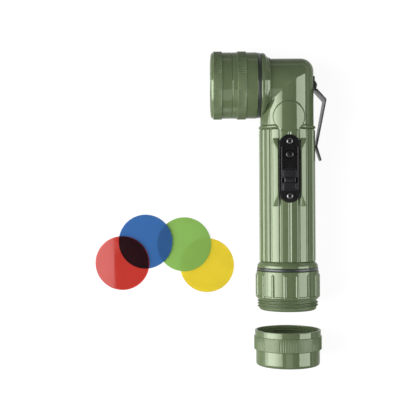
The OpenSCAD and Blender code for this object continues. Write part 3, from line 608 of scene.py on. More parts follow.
def piece(name, shells, materials, node, sharp=38, more=()):
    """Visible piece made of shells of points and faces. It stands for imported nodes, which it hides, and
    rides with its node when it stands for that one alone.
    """
    points, faces = [], []
    for shell_points, shell_faces in shells:
        base = len(points)
        points += [ELBOW + Vector(p) * MM for p in shell_points]
        faces += [tuple(base + k for k in f) for f in shell_faces]
    mesh = bpy.data.meshes.new(name)
    mesh.from_pydata(points, [], faces)
    bm = bmesh.new()
    bm.from_mesh(mesh)
    bmesh.ops.remove_doubles(bm, verts=bm.verts, dist=WELD)
    bmesh.ops.recalc_face_normals(bm, faces=bm.faces)
    bm.to_mesh(mesh)
    bm.free()
    mesh.polygons.foreach_set("use_smooth", [True] * len(mesh.polygons))
    mesh.set_sharp_from_angle(angle=math.radians(sharp))
    for material in materials:
        mesh.materials.append(material)
    obj = bpy.data.objects.new(name, mesh)
    bpy.context.scene.collection.objects.link(obj)
    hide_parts(node, *more)
    if not more:
        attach(obj, frame["nodes"][node]["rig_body"])
    return obj


# On the rings and caps the second material is a matte finish; on the screws it is painted shade in the cross
# recesses
def give_second_material(obj, test):
    """Gives the second material to the faces whose middle, in millimetres from the elbow, passes a test."""
    for face in obj.data.polygons:
        face.material_index = 1 if test(*(face.center - ELBOW) / MM) else 0


def part_matte(name, shells, node, test):
    """Piece in glossy green plastic that is matte where its faces pass a test."""
    obj = piece(name, shells, [green_plastic(), matte_green()], node, sharp=50)
    give_second_material(obj, test)


# Finishes made so far, by name
FINISHES = {}
# Pointiness from a flat face to a worn edge
WORN = (0.51, 0.6)
# Slant over which the gloss fades, the gloss seen straight on and the index of a clear finish at a slant
SLANT = (0.31, 0.44)
PLAIN_GLOSS = 0.5
SLANT_IOR = 1.06
GREEN_GLOSS = (0.89, 1.0, 0.78, 1.0)
# How much paler the green is on worn edges
EDGE_LIFT = 1.25


def linear(colour, k=1.0):
    """Seen colour as the one that light falls on, k times as bright."""
    c = Color([min(1.0, v) for v in colour]).from_srgb_to_scene_linear()
    return (c.r * k, c.g * k, c.b * k, 1.0)


def grain(tree, scale, stretch, detail):
    """Noise in the piece's own place, with a scale per metre."""
    place = tree.nodes.new("ShaderNodeTexCoord")
    mapping = tree.nodes.new("ShaderNodeMapping")
    mapping.inputs["Scale"].default_value = stretch
    noise = tree.nodes.new("ShaderNodeTexNoise")
    noise.inputs["Scale"].default_value = scale
    noise.inputs["Detail"].default_value = detail
    tree.links.new(place.outputs["Object"], mapping.inputs["Vector"])
    tree.links.new(mapping.outputs["Vector"], noise.inputs["Vector"])
    return noise.outputs["Fac"]


def ranged(tree, source, low, high, start=0.3, stop=0.7):
    """Value that goes from low to high while a source goes from start to stop."""
    node = tree.nodes.new("ShaderNodeMapRange")
    node.inputs["From Min"].default_value = start
    node.inputs["From Max"].default_value = stop
    node.inputs["To Min"].default_value = low
    node.inputs["To Max"].default_value = high
    tree.links.new(source, node.inputs["Value"])
    return node.outputs["Result"]


def blend_colour(tree, factor, first, second):
    """Mix of two colours, each a value or a socket."""
    mix = tree.nodes.new("ShaderNodeMix")
    mix.data_type = "RGBA"
    tree.links.new(factor, mix.inputs["Factor"])
    for key, value in (("A", first), ("B", second)):
        socket = [s for s in mix.inputs if s.name == key and s.type == "RGBA"][0]
        if isinstance(value, bpy.types.NodeSocket):
            tree.links.new(value, socket)
        else:
            socket.default_value = value
    return [s for s in mix.outputs if s.type == "RGBA"][0]


def finish(name, colour, rough, mottle, grain_scale, bump, stretch=(1, 1, 1), wear=None, grazing=None,
           **sockets):
    """Material with mottled colour, uneven gloss and a fine bump.

    rough is a range of roughness, mottle a scale and a share of brightness, bump a strength and a height in
    metres. wear is the colour of worn edges and how much it shows, and grazing the gloss left at a slant.
    """
    if name in FINISHES:
        return FINISHES[name]
    material = FINISHES[name] = bpy.data.materials.new(name)
    material.use_nodes = True
    tree = material.node_tree
    shader = tree.nodes["Principled BSDF"]
    for socket, value in sockets.items():
        shader.inputs[socket.replace("_", " ")].default_value = value
    cloud = ranged(tree, grain(tree, mottle[0], stretch, detail=4.0), 0, 1)
    tint = blend_colour(tree, cloud, linear(colour, 1 - mottle[1]), linear(colour, 1 + mottle[1]))
    if wear:
        edges = tree.nodes.new("ShaderNodeNewGeometry").outputs["Pointiness"]
        tint = blend_colour(tree, ranged(tree, edges, 0, wear[1], *WORN), tint, linear(wear[0]))
    tree.links.new(tint, shader.inputs["Base Color"])
    gloss = ranged(tree, grain(tree, grain_scale / 3, stretch, detail=3.0), *rough)
    tree.links.new(gloss, shader.inputs["Roughness"])
    if grazing is not None:
        slant = tree.nodes.new("ShaderNodeLayerWeight").outputs["Facing"]
        level = ranged(tree, slant, PLAIN_GLOSS, grazing, *SLANT)
        tree.links.new(level, shader.inputs["Specular IOR Level"])
        if "Transmission_Weight" in sockets:
            index = ranged(tree, slant, sockets["IOR"], SLANT_IOR, *SLANT)
            tree.links.new(index, shader.inputs["IOR"])
    height = tree.nodes.new("ShaderNodeBump")
    height.inputs["Strength"].default_value = bump[0]
    height.inputs["Distance"].default_value = bump[1]
    tree.links.new(grain(tree, grain_scale, stretch, detail=2.0), height.inputs["Height"])
    tree.links.new(height.outputs["Normal"], shader.inputs["Normal"])
    return material


def green_plastic():
    pale = [min(1, v * EDGE_LIFT) for v in colours().plastic]
    return finish("moulded_green", colours().plastic, rough=(0.05, 0.1), mottle=(70, 0.06), grain_scale=1100,
                  bump=(0.06, 0.00003), wear=(pale, 0.4), grazing=0.03, IOR=1.65, Specular_Tint=GREEN_GLOSS)


def matte_green():
    return finish("matte_green", colours().plastic, rough=(0.36, 0.5), mottle=(70, 0.06), grain_scale=1600,
                  bump=(0.12, 0.00004), grazing=0.03, IOR=1.55, Specular_Tint=GREEN_GLOSS)


def black_plastic():
    return finish("moulded_black", colours().switch, rough=(0.2, 0.32), mottle=(160, 0.12), grain_scale=2600,
                  bump=(0.1, 0.00004), grazing=0.06, IOR=1.45)


def satin_black():
    return finish("satin_black", colours().slide, rough=(0.2, 0.3), mottle=(160, 0.12), grain_scale=2600,
                  bump=(0.1, 0.00004), grazing=0.06, IOR=1.5)


def black_rubber():
    return finish("seal_rubber", colours().rubber, rough=(0.26, 0.4), mottle=(200, 0.12), grain_scale=3000,
                  bump=(0.16, 0.00005), IOR=1.5)


def grey_steel():
    return finish("sprung_steel", colours().steel, rough=(0.3, 0.46), mottle=(300, 0.08), grain_scale=2200,
                  bump=(0.08, 0.00003), stretch=(1, 0.08, 1), wear=((0.6, 0.6, 0.62), 0.2), Metallic=0.75)


# Blackened steel of the rivet, clip plate and clip tab, also used as painted shade in the screws' cross
# recesses
def black_steel():
    return finish("blackened_steel", colours().black_steel, rough=(0.32, 0.5), mottle=(240, 0.14),
                  grain_scale=2600, bump=(0.1, 0.00004), wear=((0.24, 0.24, 0.25), 0.6), Metallic=0.3)


def screw_steel():
    return finish("screw_steel", colours().screw_steel, rough=(0.26, 0.4), mottle=(400, 0.1),
                  grain_scale=2600, bump=(0.08, 0.00003), Metallic=0.9)


def brass():
    return finish("contact_brass", colours().brass, rough=(0.22, 0.4), mottle=(160, 0.08), grain_scale=1800,
                  bump=(0.06, 0.00003), Metallic=1.0)


def mirror():
    return finish("bright_metal", colours().mirror, rough=(0.04, 0.09), mottle=(60, 0.02), grain_scale=700,
                  bump=(0.02, 0.00002), Metallic=1.0)


def cell_sleeve():
    return finish("cell_sleeve", colours().cell, rough=(0.24, 0.36), mottle=(120, 0.05), grain_scale=1500,
                  bump=(0.05, 0.00003), Metallic=0.4)


def clear_glass():
    return finish("clear_glass", colours().glass, rough=(0.0, 0.02), mottle=(60, 0.01), grain_scale=500,
                  bump=(0.01, 0.00001), Transmission_Weight=1.0, IOR=1.49)


def filter_plastic(name, clear):
    return finish(name + "_filter_plastic", getattr(colours(), name), rough=(0.02, 0.07), mottle=(45, 0.03),
                  grain_scale=260, bump=(0.03, 0.00003), grazing=0.08, Transmission_Weight=clear, IOR=1.45)


# Casing
def casing_radius(a, w):
    """Outside of the barrel: ribs, bead, foot and the two round pads."""
    step = 2 * math.pi / RIBS
    off_groove = RIB_R * ((a + step / 2) % step - step / 2)
    rib = RIB_R
    if abs(off_groove) < GROOVE_R:
        groove = GROOVE_MID - math.sqrt(GROOVE_R ** 2 - off_groove ** 2)
        blend = max(0.0, GROOVE_BLEND - abs(rib - groove)) / GROOVE_BLEND
        rib = min(rib, groove) - blend * blend * GROOVE_BLEND / 4
    ribbed_here = smooth(RIB_TOP, RIB_TOP + RIB_FADE, w) * (1 - smooth(FOOT - RIB_END_FADE, FOOT, w))
    r = BARREL_R + (rib - BARREL_R) * ribbed_here
    if abs(w - BEAD) < BEAD_R:
        r = max(r, BARREL_R + math.sqrt(BEAD_R ** 2 - (w - BEAD) ** 2))
    if w > FOOT:
        foot = BARREL_R + FOOT_STEP
        r = foot + (FOOT_R - foot) * smooth(FOOT - FOOT_LEAD, FOOT + FOOT_RISE, w)
    off_pad = math.hypot(BARREL_R * math.sin(a), w - PAD)
    return r + (BARREL_R + PAD_UP - r) * (1 - smooth(PAD_R - PAD_EDGE, PAD_R, off_pad))


def turned_point(a, q, s):
    """Point of the elbow's skin at angle a, where s goes from the barrel to the neck.

    q is how far from the elbow's centre the turn starts.
    """
    whole = math.acos(min(1.0, math.cos(a) ** 2))
    first, second = 1 - s, s
    if whole > 1e-6:
        first, second = (math.sin(t * whole) / math.sin(whole) for t in (first, second))
    k = BARREL_R - q
    return (q * math.sin(a) + k * first * math.sin(a), q * math.sin(a) + k * second * math.sin(a),
            q * math.cos(a) + k * (first + second) * math.cos(a))


def casing_skin():
    """Outer skin from the barrel's end, round the elbow, to the neck."""
    columns = sizes().columns
    crease = sizes().crease / MM
    angles = [2 * math.pi * k / columns for k in range(columns)]
    # The turn starts short of the elbow's outer corner, by its round, and past the inner one, by the crease
    bend = [BARREL_R - ELBOW_ROUND if math.sin(a) >= 0 else BARREL_R + crease for a in angles]
    top = BARREL_R + crease + 0.8
    bend_rings, turn_rings = 41, 14
    neck_shares = (0.02, 0.05, 0.1, 0.2, 0.4, 0.6, 0.8, 1.0)
    plate_low, plate_high, fine = SWITCH + 27, SWITCH - 17, 0.4
    # Rings lie close at the foot and where the round ends of the switch plate cut the skin
    rings = [BARREL_END - FOOT_EDGE[1]] + spaced(BARREL_END - 0.7, -0.35, 12) + spaced(FOOT - 0.5, -0.5, 2)
    rings += spaced(FOOT - 9, -8, 4) + spaced(plate_low, -0.5, 20) + spaced(SWITCH + 9, -9, 3)
    rings += spaced(plate_high, -fine, int((plate_high - top) / fine))
    end_radii = (SPIGOT_R - SPIGOT_LAP, FOOT_R - FOOT_EDGE[0])
    rows = [[on_barrel(r, a, BARREL_END) for a in angles] for r in end_radii]
    rows += [[on_barrel(casing_radius(a, w), a, w) for a in angles] for w in rings]
    for t in (i / bend_rings for i in range(bend_rings)):
        places = [top + (-q * math.sin(a) - top) * t for a, q in zip(angles, bend)]
        rows.append([on_barrel(casing_radius(a, w), a, w) for a, w in zip(angles, places)])
    for t in (i / turn_rings for i in range(turn_rings + 1)):
        rows.append([turned_point(a, q, t) for a, q in zip(angles, bend)])
    for t in neck_shares:
        places = [q * math.sin(a) + (-COLLAR - q * math.sin(a)) * t for a, q in zip(angles, bend)]
        rows.append([on_head(BARREL_R, a, -x) for a, x in zip(angles, places)])
    return bridge(rows)


def without_switch(points, faces):
    """Faces of the casing's skin that don't lie under the switch plate."""
    keep = []
    for f in faces:
        x, y, z = [sum(points[k][i] for k in f) / 4 for i in range(3)]
        off_line = math.hypot(x, max(0.0, abs(y + SWITCH) - PLATE_SPAN / 2))
        if z <= 0 or off_line >= PLATE_HALF - PLATE_LAP:
            keep.append(f)
    return keep


def collar_outline():
    """Outline of the collar behind the head: a step, a round shoulder and a rounded front edge."""
    outline = [(PILOT_BORE, FLARE), (BARREL_R - 0.6, FLARE), (BARREL_R - 0.05, FLARE - 0.2, 0.5),
               (COLLAR_STEP_R, COLLAR_STEP, 0.15), (COLLAR_STEP_R, COLLAR_STEP + COLLAR_STEP_T, 0.1)]
    rise, run = 1.7, 2.5
    for t in arc(8)[1:]:
        outline.append((COLLAR_R - rise * (1 - math.sin(t)), COLLAR_WIDE - run * math.cos(t)))
    drop, run = 1.2, 1.3
    for t in arc(8, math.radians(80)):
        outline.append((COLLAR_R - drop * (1 - math.cos(t)), COLLAR - run * (1 - math.sin(t))))
    return rounded(outline + [(PILOT_BORE, COLLAR)])


def guard(side):
    """One wall beside the switch, rounded over like the barrel and ramped down at both ends."""
    stops = [0, 0.15, GUARD_ROUND] + spaced(0.8, 0.6, 16)
    rows = []
    for w in [GUARD_NEAR + d for d in stops] + [GUARD_FAR - d for d in reversed(stops)]:
        d = min(w - GUARD_NEAR, GUARD_FAR - w)
        top = GUARD_LOW + GUARD_RAMP * d - GUARD_DROP * max(0.0, 1 - d / GUARD_ROUND) ** 2
        section = [(GUARD_IN, GUARD_FOOT_IN)]
        for x, edge in ((GUARD_IN, 0.6), (GUARD_IN + 1.3, 0), (GUARD_IN + 2.5, 0), (GUARD_OUT, 0.8)):
            section.append((x, min(math.sqrt(GUARD_R ** 2 - x * x), top), edge))
        section.append((GUARD_OUT, GUARD_FOOT_OUT))
        rows.append([(side * x, -w, z) for x, z in rounded(section, n=4)])
    return bridge(rows, ends=True)


class FLASHLIGHT_OT_casing(Operator):
    """Builds the moulded casing: ribbed barrel, elbow, collar, switch guards and both threaded ends"""
    bl_idname = "flashlight.casing"
    bl_label = "Casing"

    def execute(self, context):
        points, faces = casing_skin()
        pilot = [(PILOT_BORE, FLARE), (PILOT_R, FLARE), (PILOT_R, PILOT_END, 0.4),
                 (PILOT_BORE, PILOT_END, 0.2)]
        inside, end = SPIGOT_R - SPIGOT_SKIN, BARREL_END - SPIGOT_SHOULDER
        spigot = [(BORE_R, SPIGOT_TOP), (inside, SPIGOT_TOP), (inside, end), (SPIGOT_R, end),
                  (SPIGOT_R, SPIGOT_END, 0.4), (BORE_R, SPIGOT_END, 0.2)]
        shells = [
            (points, without_switch(points, faces)),
            lathe(on_head, collar_outline(), steps=192),
            lathe(on_head, rounded(pilot)),
            lathe(on_barrel, rounded(spigot)),
            guard(1), guard(-1),
            screw_thread(on_head, PILOT_R, COARSE_RISE, PILOT_THREAD, COARSE_PITCH, 0),
            screw_thread(on_barrel, SPIGOT_R, COARSE_RISE, SPIGOT_THREAD, COARSE_PITCH, 0, turn=-1),
        ]
        piece("casing", shells, [green_plastic()], "body_shell", sharp=32)
        return {"FINISHED"}


# Grip bands
def patch(a, centre):
    """1 where a grip band has fine ribs, 0 where it is plain. The ribbed stretches are evenly spread."""
    step = 2 * math.pi / PATCHES
    off = (a - centre + step / 2) % step - step / 2
    return 1 - smooth(*PATCH_FADE, abs(off))


def ribbed(band_r, reach, centre):
    """Shape that cuts fine ribs into a band, up to its plain edges."""
    def shape(a, r, d):
        if r < band_r - NEAR or d < reach[0] + BAND_PLAIN or d > reach[1] - BAND_PLAIN:
            return r
        wave = 0.5 - 0.5 * math.cos(2 * math.pi * a / sizes().rib_pitch)
        return r - sizes().rib_depth / MM * wave * patch(a, centre)
    return shape


def band(r, band_r, reach):
    """Outline of a raised band on a wall of radius r."""
    low, high = reach
    return [(r, low, 0.1), (band_r, low + BAND_SLOPE, 0.25), (band_r, low + BAND_FLAT),
            (band_r, high - BAND_FLAT), (band_r, high - BAND_SLOPE, 0.25), (r, high, 0.1)]


class FLASHLIGHT_OT_head_rings(Operator):
    """Builds the lens ring and the filter ring with their ribbed grip bands and threads"""
    bl_idname = "flashlight.head_rings"
    bl_label = "Head Rings"

    def on_band(self, x, y, z):
        """Whether a place lies on the raised band of a ring."""
        return math.hypot(y, z) > (RING_R + BAND_R) / 2

    def lens_ring(self):
        edge = sizes().edge / MM
        outline = [(RING_BORE, RING_BACK, 0.1), (RING_R, RING_BACK, edge)]
        outline += band(RING_R, BAND_R, LENS_BAND)
        outline += [(RING_R, SEAM, edge), (NOSE_R, SEAM), (NOSE_R, NOSE_END, 0.3),
                    (NOSE_HOLE, NOSE_END, 0.2), (NOSE_HOLE, LENS_FRONT, 0.1), (LENS_HOUSE_R, LENS_FRONT),
                    (LENS_HOUSE_R, RING_BORE_END), (RING_BORE, RING_BORE_END)]
        ribs = ribbed(BAND_R, LENS_BAND, HEAD_TURN)
        return [lathe(on_head, rounded(outline), RIBBED_STEPS, ribs),
                screw_thread(on_head, RING_BORE, -COARSE_RISE, PILOT_THREAD, COARSE_PITCH, 0.5),
                screw_thread(on_head, NOSE_R, NOSE_RISE, NOSE_THREAD, FINE_PITCH, 0)]

    def filter_ring(self):
        edge = sizes().edge / MM
        back = SEAM + SEAM_GAP
        outline = [(FILTER_BORE, back, 0.1), (RING_R, back, edge)] + band(RING_R, BAND_R, FILTER_BAND)
        outline += [(RING_R - inward, FRONT - behind) for inward, behind in FRONT_EDGE]
        outline += [(WINDOW_R, FRONT, 0.5), (WINDOW_R, FILTER_SEAT, 0.2), (FILTER_SEAT_R, FILTER_SEAT),
                    (FILTER_SEAT_R, FILTER_BORE_END), (FILTER_BORE, FILTER_BORE_END)]
        ribs = ribbed(BAND_R, FILTER_BAND, HEAD_TURN)
        return [lathe(on_head, rounded(outline, n=6), RIBBED_STEPS, ribs),
                screw_thread(on_head, FILTER_BORE, -NOSE_RISE, NOSE_THREAD, FINE_PITCH, 0.5)]

    def execute(self, context):
        part_matte("lens_ring_body", self.lens_ring(), "lens_ring", self.on_band)
        part_matte("filter_ring_body", self.filter_ring(), "filter_ring", self.on_band)
        return {"FINISHED"}


class FLASHLIGHT_OT_caps(Operator):
    """Builds the ridged battery cap with its threaded neck and the storage cap"""
    bl_idname = "flashlight.caps"
    bl_label = "Caps"

    def ridge(self, a, r, d):
        """Radius of the grip with its round ridges."""
        if r < GRIP_R - NEAR or d < RIDGE_TOP - RIDGE_R or d > RIDGE_END:
            return r
        step = 2 * math.pi / RIDGES
        off = RIDGE_MID * ((a + RIDGE_TURN + step / 2) % step - step / 2)
        left = RIDGE_R ** 2 - off ** 2 - max(0.0, RIDGE_TOP - d) ** 2
        return max(r, RIDGE_MID + math.sqrt(left)) if left > 0 else r

    def battery_cap(self):
        edge = sizes().edge / MM
        outline = [(0, GRIP_END), (SPRING_WELL_R, GRIP_END, 0.3), (SPRING_WELL_R, BASE_BORE_END),
                   (BASE_BORE, BASE_BORE_END), (BASE_BORE, GRIP, 0.2), (GRIP_R, GRIP, edge)]
        # Rings lie close where the ridges' tops are round
        rings = spaced(GRIP + 2.3, 0.2, 6) + [GRIP + 4.5] + spaced(GRIP + 8, 4, 3)
        outline += [(GRIP_R, d) for d in rings]
        outline += [(GRIP_R, GRIP_END, 0.2), (FLANGE_R, FLANGE_TOP, 0.3),
                    (FLANGE_R - FLANGE_DRAFT, FLANGE_LOW, 0.3), (NECK_R + NECK_RISE, FLANGE, 0.2),
                    (NECK_R, FLANGE, 0.1)]
        drop, run = 1.9, 2.4
        outline += [(NECK_R - drop * (1 - math.cos(t)), NECK_END - run * (1 - math.sin(t)))
                    for t in arc(5, math.radians(80))]
        outline += [(NECK_BORE, NECK_END, 0.3), (NECK_BORE, FLANGE, 0.2), (0, FLANGE)]
        return [lathe(on_barrel, rounded(outline), steps=640, shape=self.ridge, closed=False),
                screw_thread(on_barrel, BASE_BORE, -COARSE_RISE, BASE_THREAD, COARSE_PITCH, 0.5, turn=-1),
                screw_thread(on_barrel, NECK_R, NECK_RISE, NECK_THREAD, FINE_PITCH, 0, turn=-1, foot=0.58)]

    def storage_cap(self):
        outline = [(0, CAP_FLOOR), (CAP_HOLLOW_R, CAP_FLOOR, 1.0), (CAP_HOLLOW_R, MOUTH_BORE_END, 0.2),
                   (MOUTH_BORE, MOUTH_BORE_END), (MOUTH_BORE, MOUTH, 0.4), (MOUTH_R, MOUTH, 0.5)]
        outline += band(MOUTH_R, CAP_BAND_R, CAP_BAND)
        outline += [(CAP_R, CAP_BAND[1], 0.2), (CAP_R, CAP_END, 2.3), (0, CAP_END)]
        ribs = ribbed(CAP_BAND_R, CAP_BAND, CAP_TURN)
        return [lathe(on_barrel, rounded(outline, n=6), RIBBED_STEPS, ribs, closed=False),
                screw_thread(on_barrel, MOUTH_BORE, -NECK_RISE, MOUTH_THREAD, FINE_PITCH, 0.5, turn=-1)]

    def execute(self, context):
        part_matte("battery_cap_body", self.battery_cap(), "battery_cap", lambda x, y, z: y < -FLANGE)
        part_matte("storage_cap_body", self.storage_cap(), "storage_cap",
                   lambda x, y, z: math.hypot(x, z) > (MOUTH_R + CAP_BAND_R) / 2)
        return {"FINISHED"}


class FLASHLIGHT_OT_gaskets(Operator):
    """Builds the two rubber gaskets that show behind the head and above the battery cap"""
    bl_idname = "flashlight.gaskets"
    bl_label = "Gaskets"

    def seal(self, name, node, axis, radii, start):
        inner, outer = radii
        outline = [(inner, start), (outer, start), (outer, start + SEAL_T), (inner, start + SEAL_T)]
        shell = lathe(axis, rounded(outline, SEAL_ROUND, 5), steps=192)
        piece(name, [shell], [black_rubber()], node, sharp=60)

    def execute(self, context):
        self.seal("head_seal", "head_gasket", on_head, HEAD_SEAL, COLLAR)
        self.seal("base_seal", "base_gasket", on_barrel, BASE_SEAL, BARREL_END)
        return {"FINISHED"}


class FLASHLIGHT_OT_optics(Operator):
    """Builds the lens, reflector and lamp glass behind the head's window"""
    bl_idname = "flashlight.optics"
    bl_label = "Optics"

    def lens(self):
        outline = [(0, LENS_BACK), (LENS_R, LENS_BACK, 0.3), (LENS_R, LENS_FRONT, 0.3), (0, LENS_FRONT)]
        return lathe(on_head, rounded(outline), closed=False)

    def reflector(self):
        count = 24
        radii = [BOWL_HOLE + (BOWL_R - BOWL_HOLE) * k / count for k in range(count + 1)]
        bowl = [(r, BOWL_BACK + r * r / (4 * BOWL_FOCUS)) for r in radii]
        skip = 3
        back = [(r, d - BOWL_WALL) for r, d in reversed(bowl[skip:-1])]
        rim = [(LENS_R, BOWL_RIM[1]), (LENS_R, BOWL_RIM[0]), (BOWL_R - 0.1, BOWL_RIM[0])]
        sleeve = [(BOWL_SLEEVE_R, BOWL_SLEEVE_END), (BOWL_HOLE, BOWL_SLEEVE_END)]
        return lathe(on_head, bowl + rim + back + sleeve)

    def lamp(self):
        first = math.asin(LAMP_NECK_R / LAMP_R)
        outline = [(0, LAMP_NECK_END), (LAMP_NECK_R, LAMP_NECK_END)]
        outline += [(LAMP_R * math.sin(t), LAMP_MID - LAMP_R * math.cos(t))
                    for t in arc(20, math.pi - first, first)]
        return lathe(on_head, outline, steps=64, closed=False)

    def execute(self, context):
        piece("front_lens", [self.lens()], [clear_glass()], "lens")
        piece("reflector_bowl", [self.reflector()], [mirror()], "reflector")
        piece("lamp_glass", [self.lamp()], [clear_glass()], "bulb_glass")
        return {"FINISHED"}


class FLASHLIGHT_OT_switch(Operator):
    """Builds the switch: plate with its raised frame, slide, push button, two screws and return spring"""
    bl_idname = "flashlight.switch"
    bl_label = "Switch"

    def plate_loop(self, n=24):
        """Outline of the switch plate seen from above: straight sides and round ends."""
        outline = []
        for s in (1, -1):
            for t in arc(n, math.pi):
                y = s * (PLATE_SPAN / 2 + PLATE_HALF * math.sin(t)) - SWITCH
                outline.append((s * PLATE_HALF * math.cos(t), y))
        return outline

    def plate(self):
        """Plate in three layers: floor of the track, sides of the track and the raised frame round it."""
        holes = [circle(-w, SCREW_HOLE, 24) for w in SCREWS]
        slot = plan_loop(SLOT_PLAN, corner=0.4)
        floor = [self.plate_loop(), circle(-BUTTON, BUTTON_HOLE), slot] + holes
        track = plan_loop(TRACK_PLAN, TRACK_ROUND)
        rim = plan_loop(TRACK_PLAN, TRACK_ROUND, FRAME_W)
        return [slab(floor, PLATE, TRACK + 0.02, edge=0.1),
                slab([self.plate_loop(), track] + holes, TRACK, PLATE_TOP, edge=0.3),
                slab([rim, track], PLATE_TOP - 0.4, FRAME_TOP, edge=0.25)]

    def slide(self):
        """Slide with notched sides, thumb step, stem, shoe, a tray with its well, and grip bars."""
        half, near, far = SLIDE_PLAN
        waist, notch_near, notch_far = NOTCH_PLAN
        base = [(half, -far, 0.7), (half, -notch_far, 0.4), (waist, -notch_far, 0.3),
                (waist, -notch_near, 0.3), (half, -notch_near, 0.4), (half, -near, 0.7)]
        base += [(-x, y, r) for x, y, r in reversed(base)]
        step_half, step_near, step_far = STEP_PLAN
        step = [(-step_far, STEP_FOOT), (-step_near, STEP_FOOT), (-step_near - STEP_SLOPE, STEP_TOP),
                (-step_far + STEP_SLOPE, STEP_TOP)]
        tray = [plan_loop(TRAY_PLAN, corner=0.8), plan_loop(WELL_PLAN, corner=0.5)]
        shells = [slab([rounded(base)], SLIDE_FOOT, SLIDE_TOP, edge=0.35),
                  slab([rounded(step, 0.5)], -step_half, step_half, edge=0.35, turned=across),
                  slab([plan_loop(STEM_PLAN, corner=0.3)], STEM_FOOT, STEM_TOP, edge=0.1),
                  slab([plan_loop(SHOE_PLAN, corner=0.3)], SLIDE_FOOT, SHOE_TOP, edge=0.1),
                  slab(tray, SLIDE_TOP - TRAY_SUNK, SLIDE_TOP + TRAY_UP, edge=0.2)]
        bar_half, bar_near, bar_far = BAR_PLAN
        for shift in spaced(0, BAR_PITCH, BARS):
            low, high = shift - bar_far, shift - bar_near
            bar = [(low, BAR_FOOT), (high, BAR_FOOT), (high, BAR_TOP), (low, BAR_TOP)]
            shells.append(slab([rounded(bar, 0.3)], -bar_half, bar_half, edge=0.2, turned=across))
        return shells

    def button(self):
        dome = [(BUTTON_R * math.sin(t), BUTTON_SHOULDER + BUTTON_DOME * math.cos(t)) for t in arc(8)]
        outline = [(0, BUTTON_FOOT), (BUTTON_BRIM_R, BUTTON_FOOT), (BUTTON_BRIM_R, BUTTON_BRIM),
                   (BUTTON_R, BUTTON_BRIM)] + dome[::-1]
        return lathe(upright(BUTTON), outline, steps=64, closed=False)

    def coil(self):
        """The button's return spring, wound from its wide foot up to the button."""
        steps, sides = 90, 8
        rows = []
        for t in (i / steps for i in range(steps + 1)):
            a = 2 * math.pi * COIL_TURNS * t
            r = COIL_R[0] + (COIL_R[1] - COIL_R[0]) * t
            z = COIL_FOOT + COIL_WIRE + (COIL_L - 2 * COIL_WIRE) * t
            row = []
            for b in (2 * math.pi * k / sides for k in range(sides)):
                out = r + COIL_WIRE * math.cos(b)
                row.append((out * math.cos(a), out * math.sin(a) - BUTTON, z + COIL_WIRE * math.sin(b)))
            rows.append(row)
        return bridge(rows, ends=True)

    def dome(self, r):
        """Height of the screw's round head."""
        return PLATE_TOP + SCREW_HEAD_H * math.sqrt(1 - min(1.0, r / SCREW_HEAD_R) ** 4)

    def screw(self, w):
        """Round-head screw with a cross recess."""
        steps, rings = 72, 20
        turns = [2 * math.pi * k / steps for k in range(steps)]
        rows = [[(SCREW_R * math.sin(a), SCREW_R * math.cos(a) - w, z) for a in turns]
                for z in (SCREW_END, PLATE_TOP)]
        for i in range(rings + 1):
            r = SCREW_HEAD_R * (1 - i / rings)
            z = self.dome(r)
            row = []
            for a in turns:
                x, y = r * math.sin(a), r * math.cos(a)
                u, v = abs(x + y) / math.sqrt(2), abs(x - y) / math.sqrt(2)
                cross = (1 - smooth(*CROSS_HALF, min(u, v))) * (1 - smooth(*CROSS_REACH, max(u, v)))
                row.append((x, y - w, z - (z - CROSS_FLOOR) * cross))
            rows.append(row)
        return bridge(rows)

    def painted_shade_in_recess(self, x, y, z):
        """Whether a place lies deep in a screw's cross recess, where the recess is painted dark as shade."""
        r = min(math.hypot(x, y + w) for w in SCREWS)
        return r < CROSS_SHADE_EDGE and z < self.dome(r) - CROSS_SHADE_DEPTH

    def execute(self, context):
        piece("switch_housing", self.plate(), [black_plastic()], "switch_plate")
        piece("slide_knob", self.slide(), [satin_black()], "switch_slide")
        piece("push_button", [self.button()], [black_plastic()], "signal_button")
        # The screws' cross recesses take the black steel as painted shade
        screws = piece("plate_screws", [self.screw(w) for w in SCREWS], [screw_steel(), black_steel()],
                       "switch_screws")
        give_second_material(screws, self.painted_shade_in_recess)
        spring = piece("return_coil", [self.coil()], [grey_steel()], "button_spring")
        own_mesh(spring)
        return {"FINISHED"}


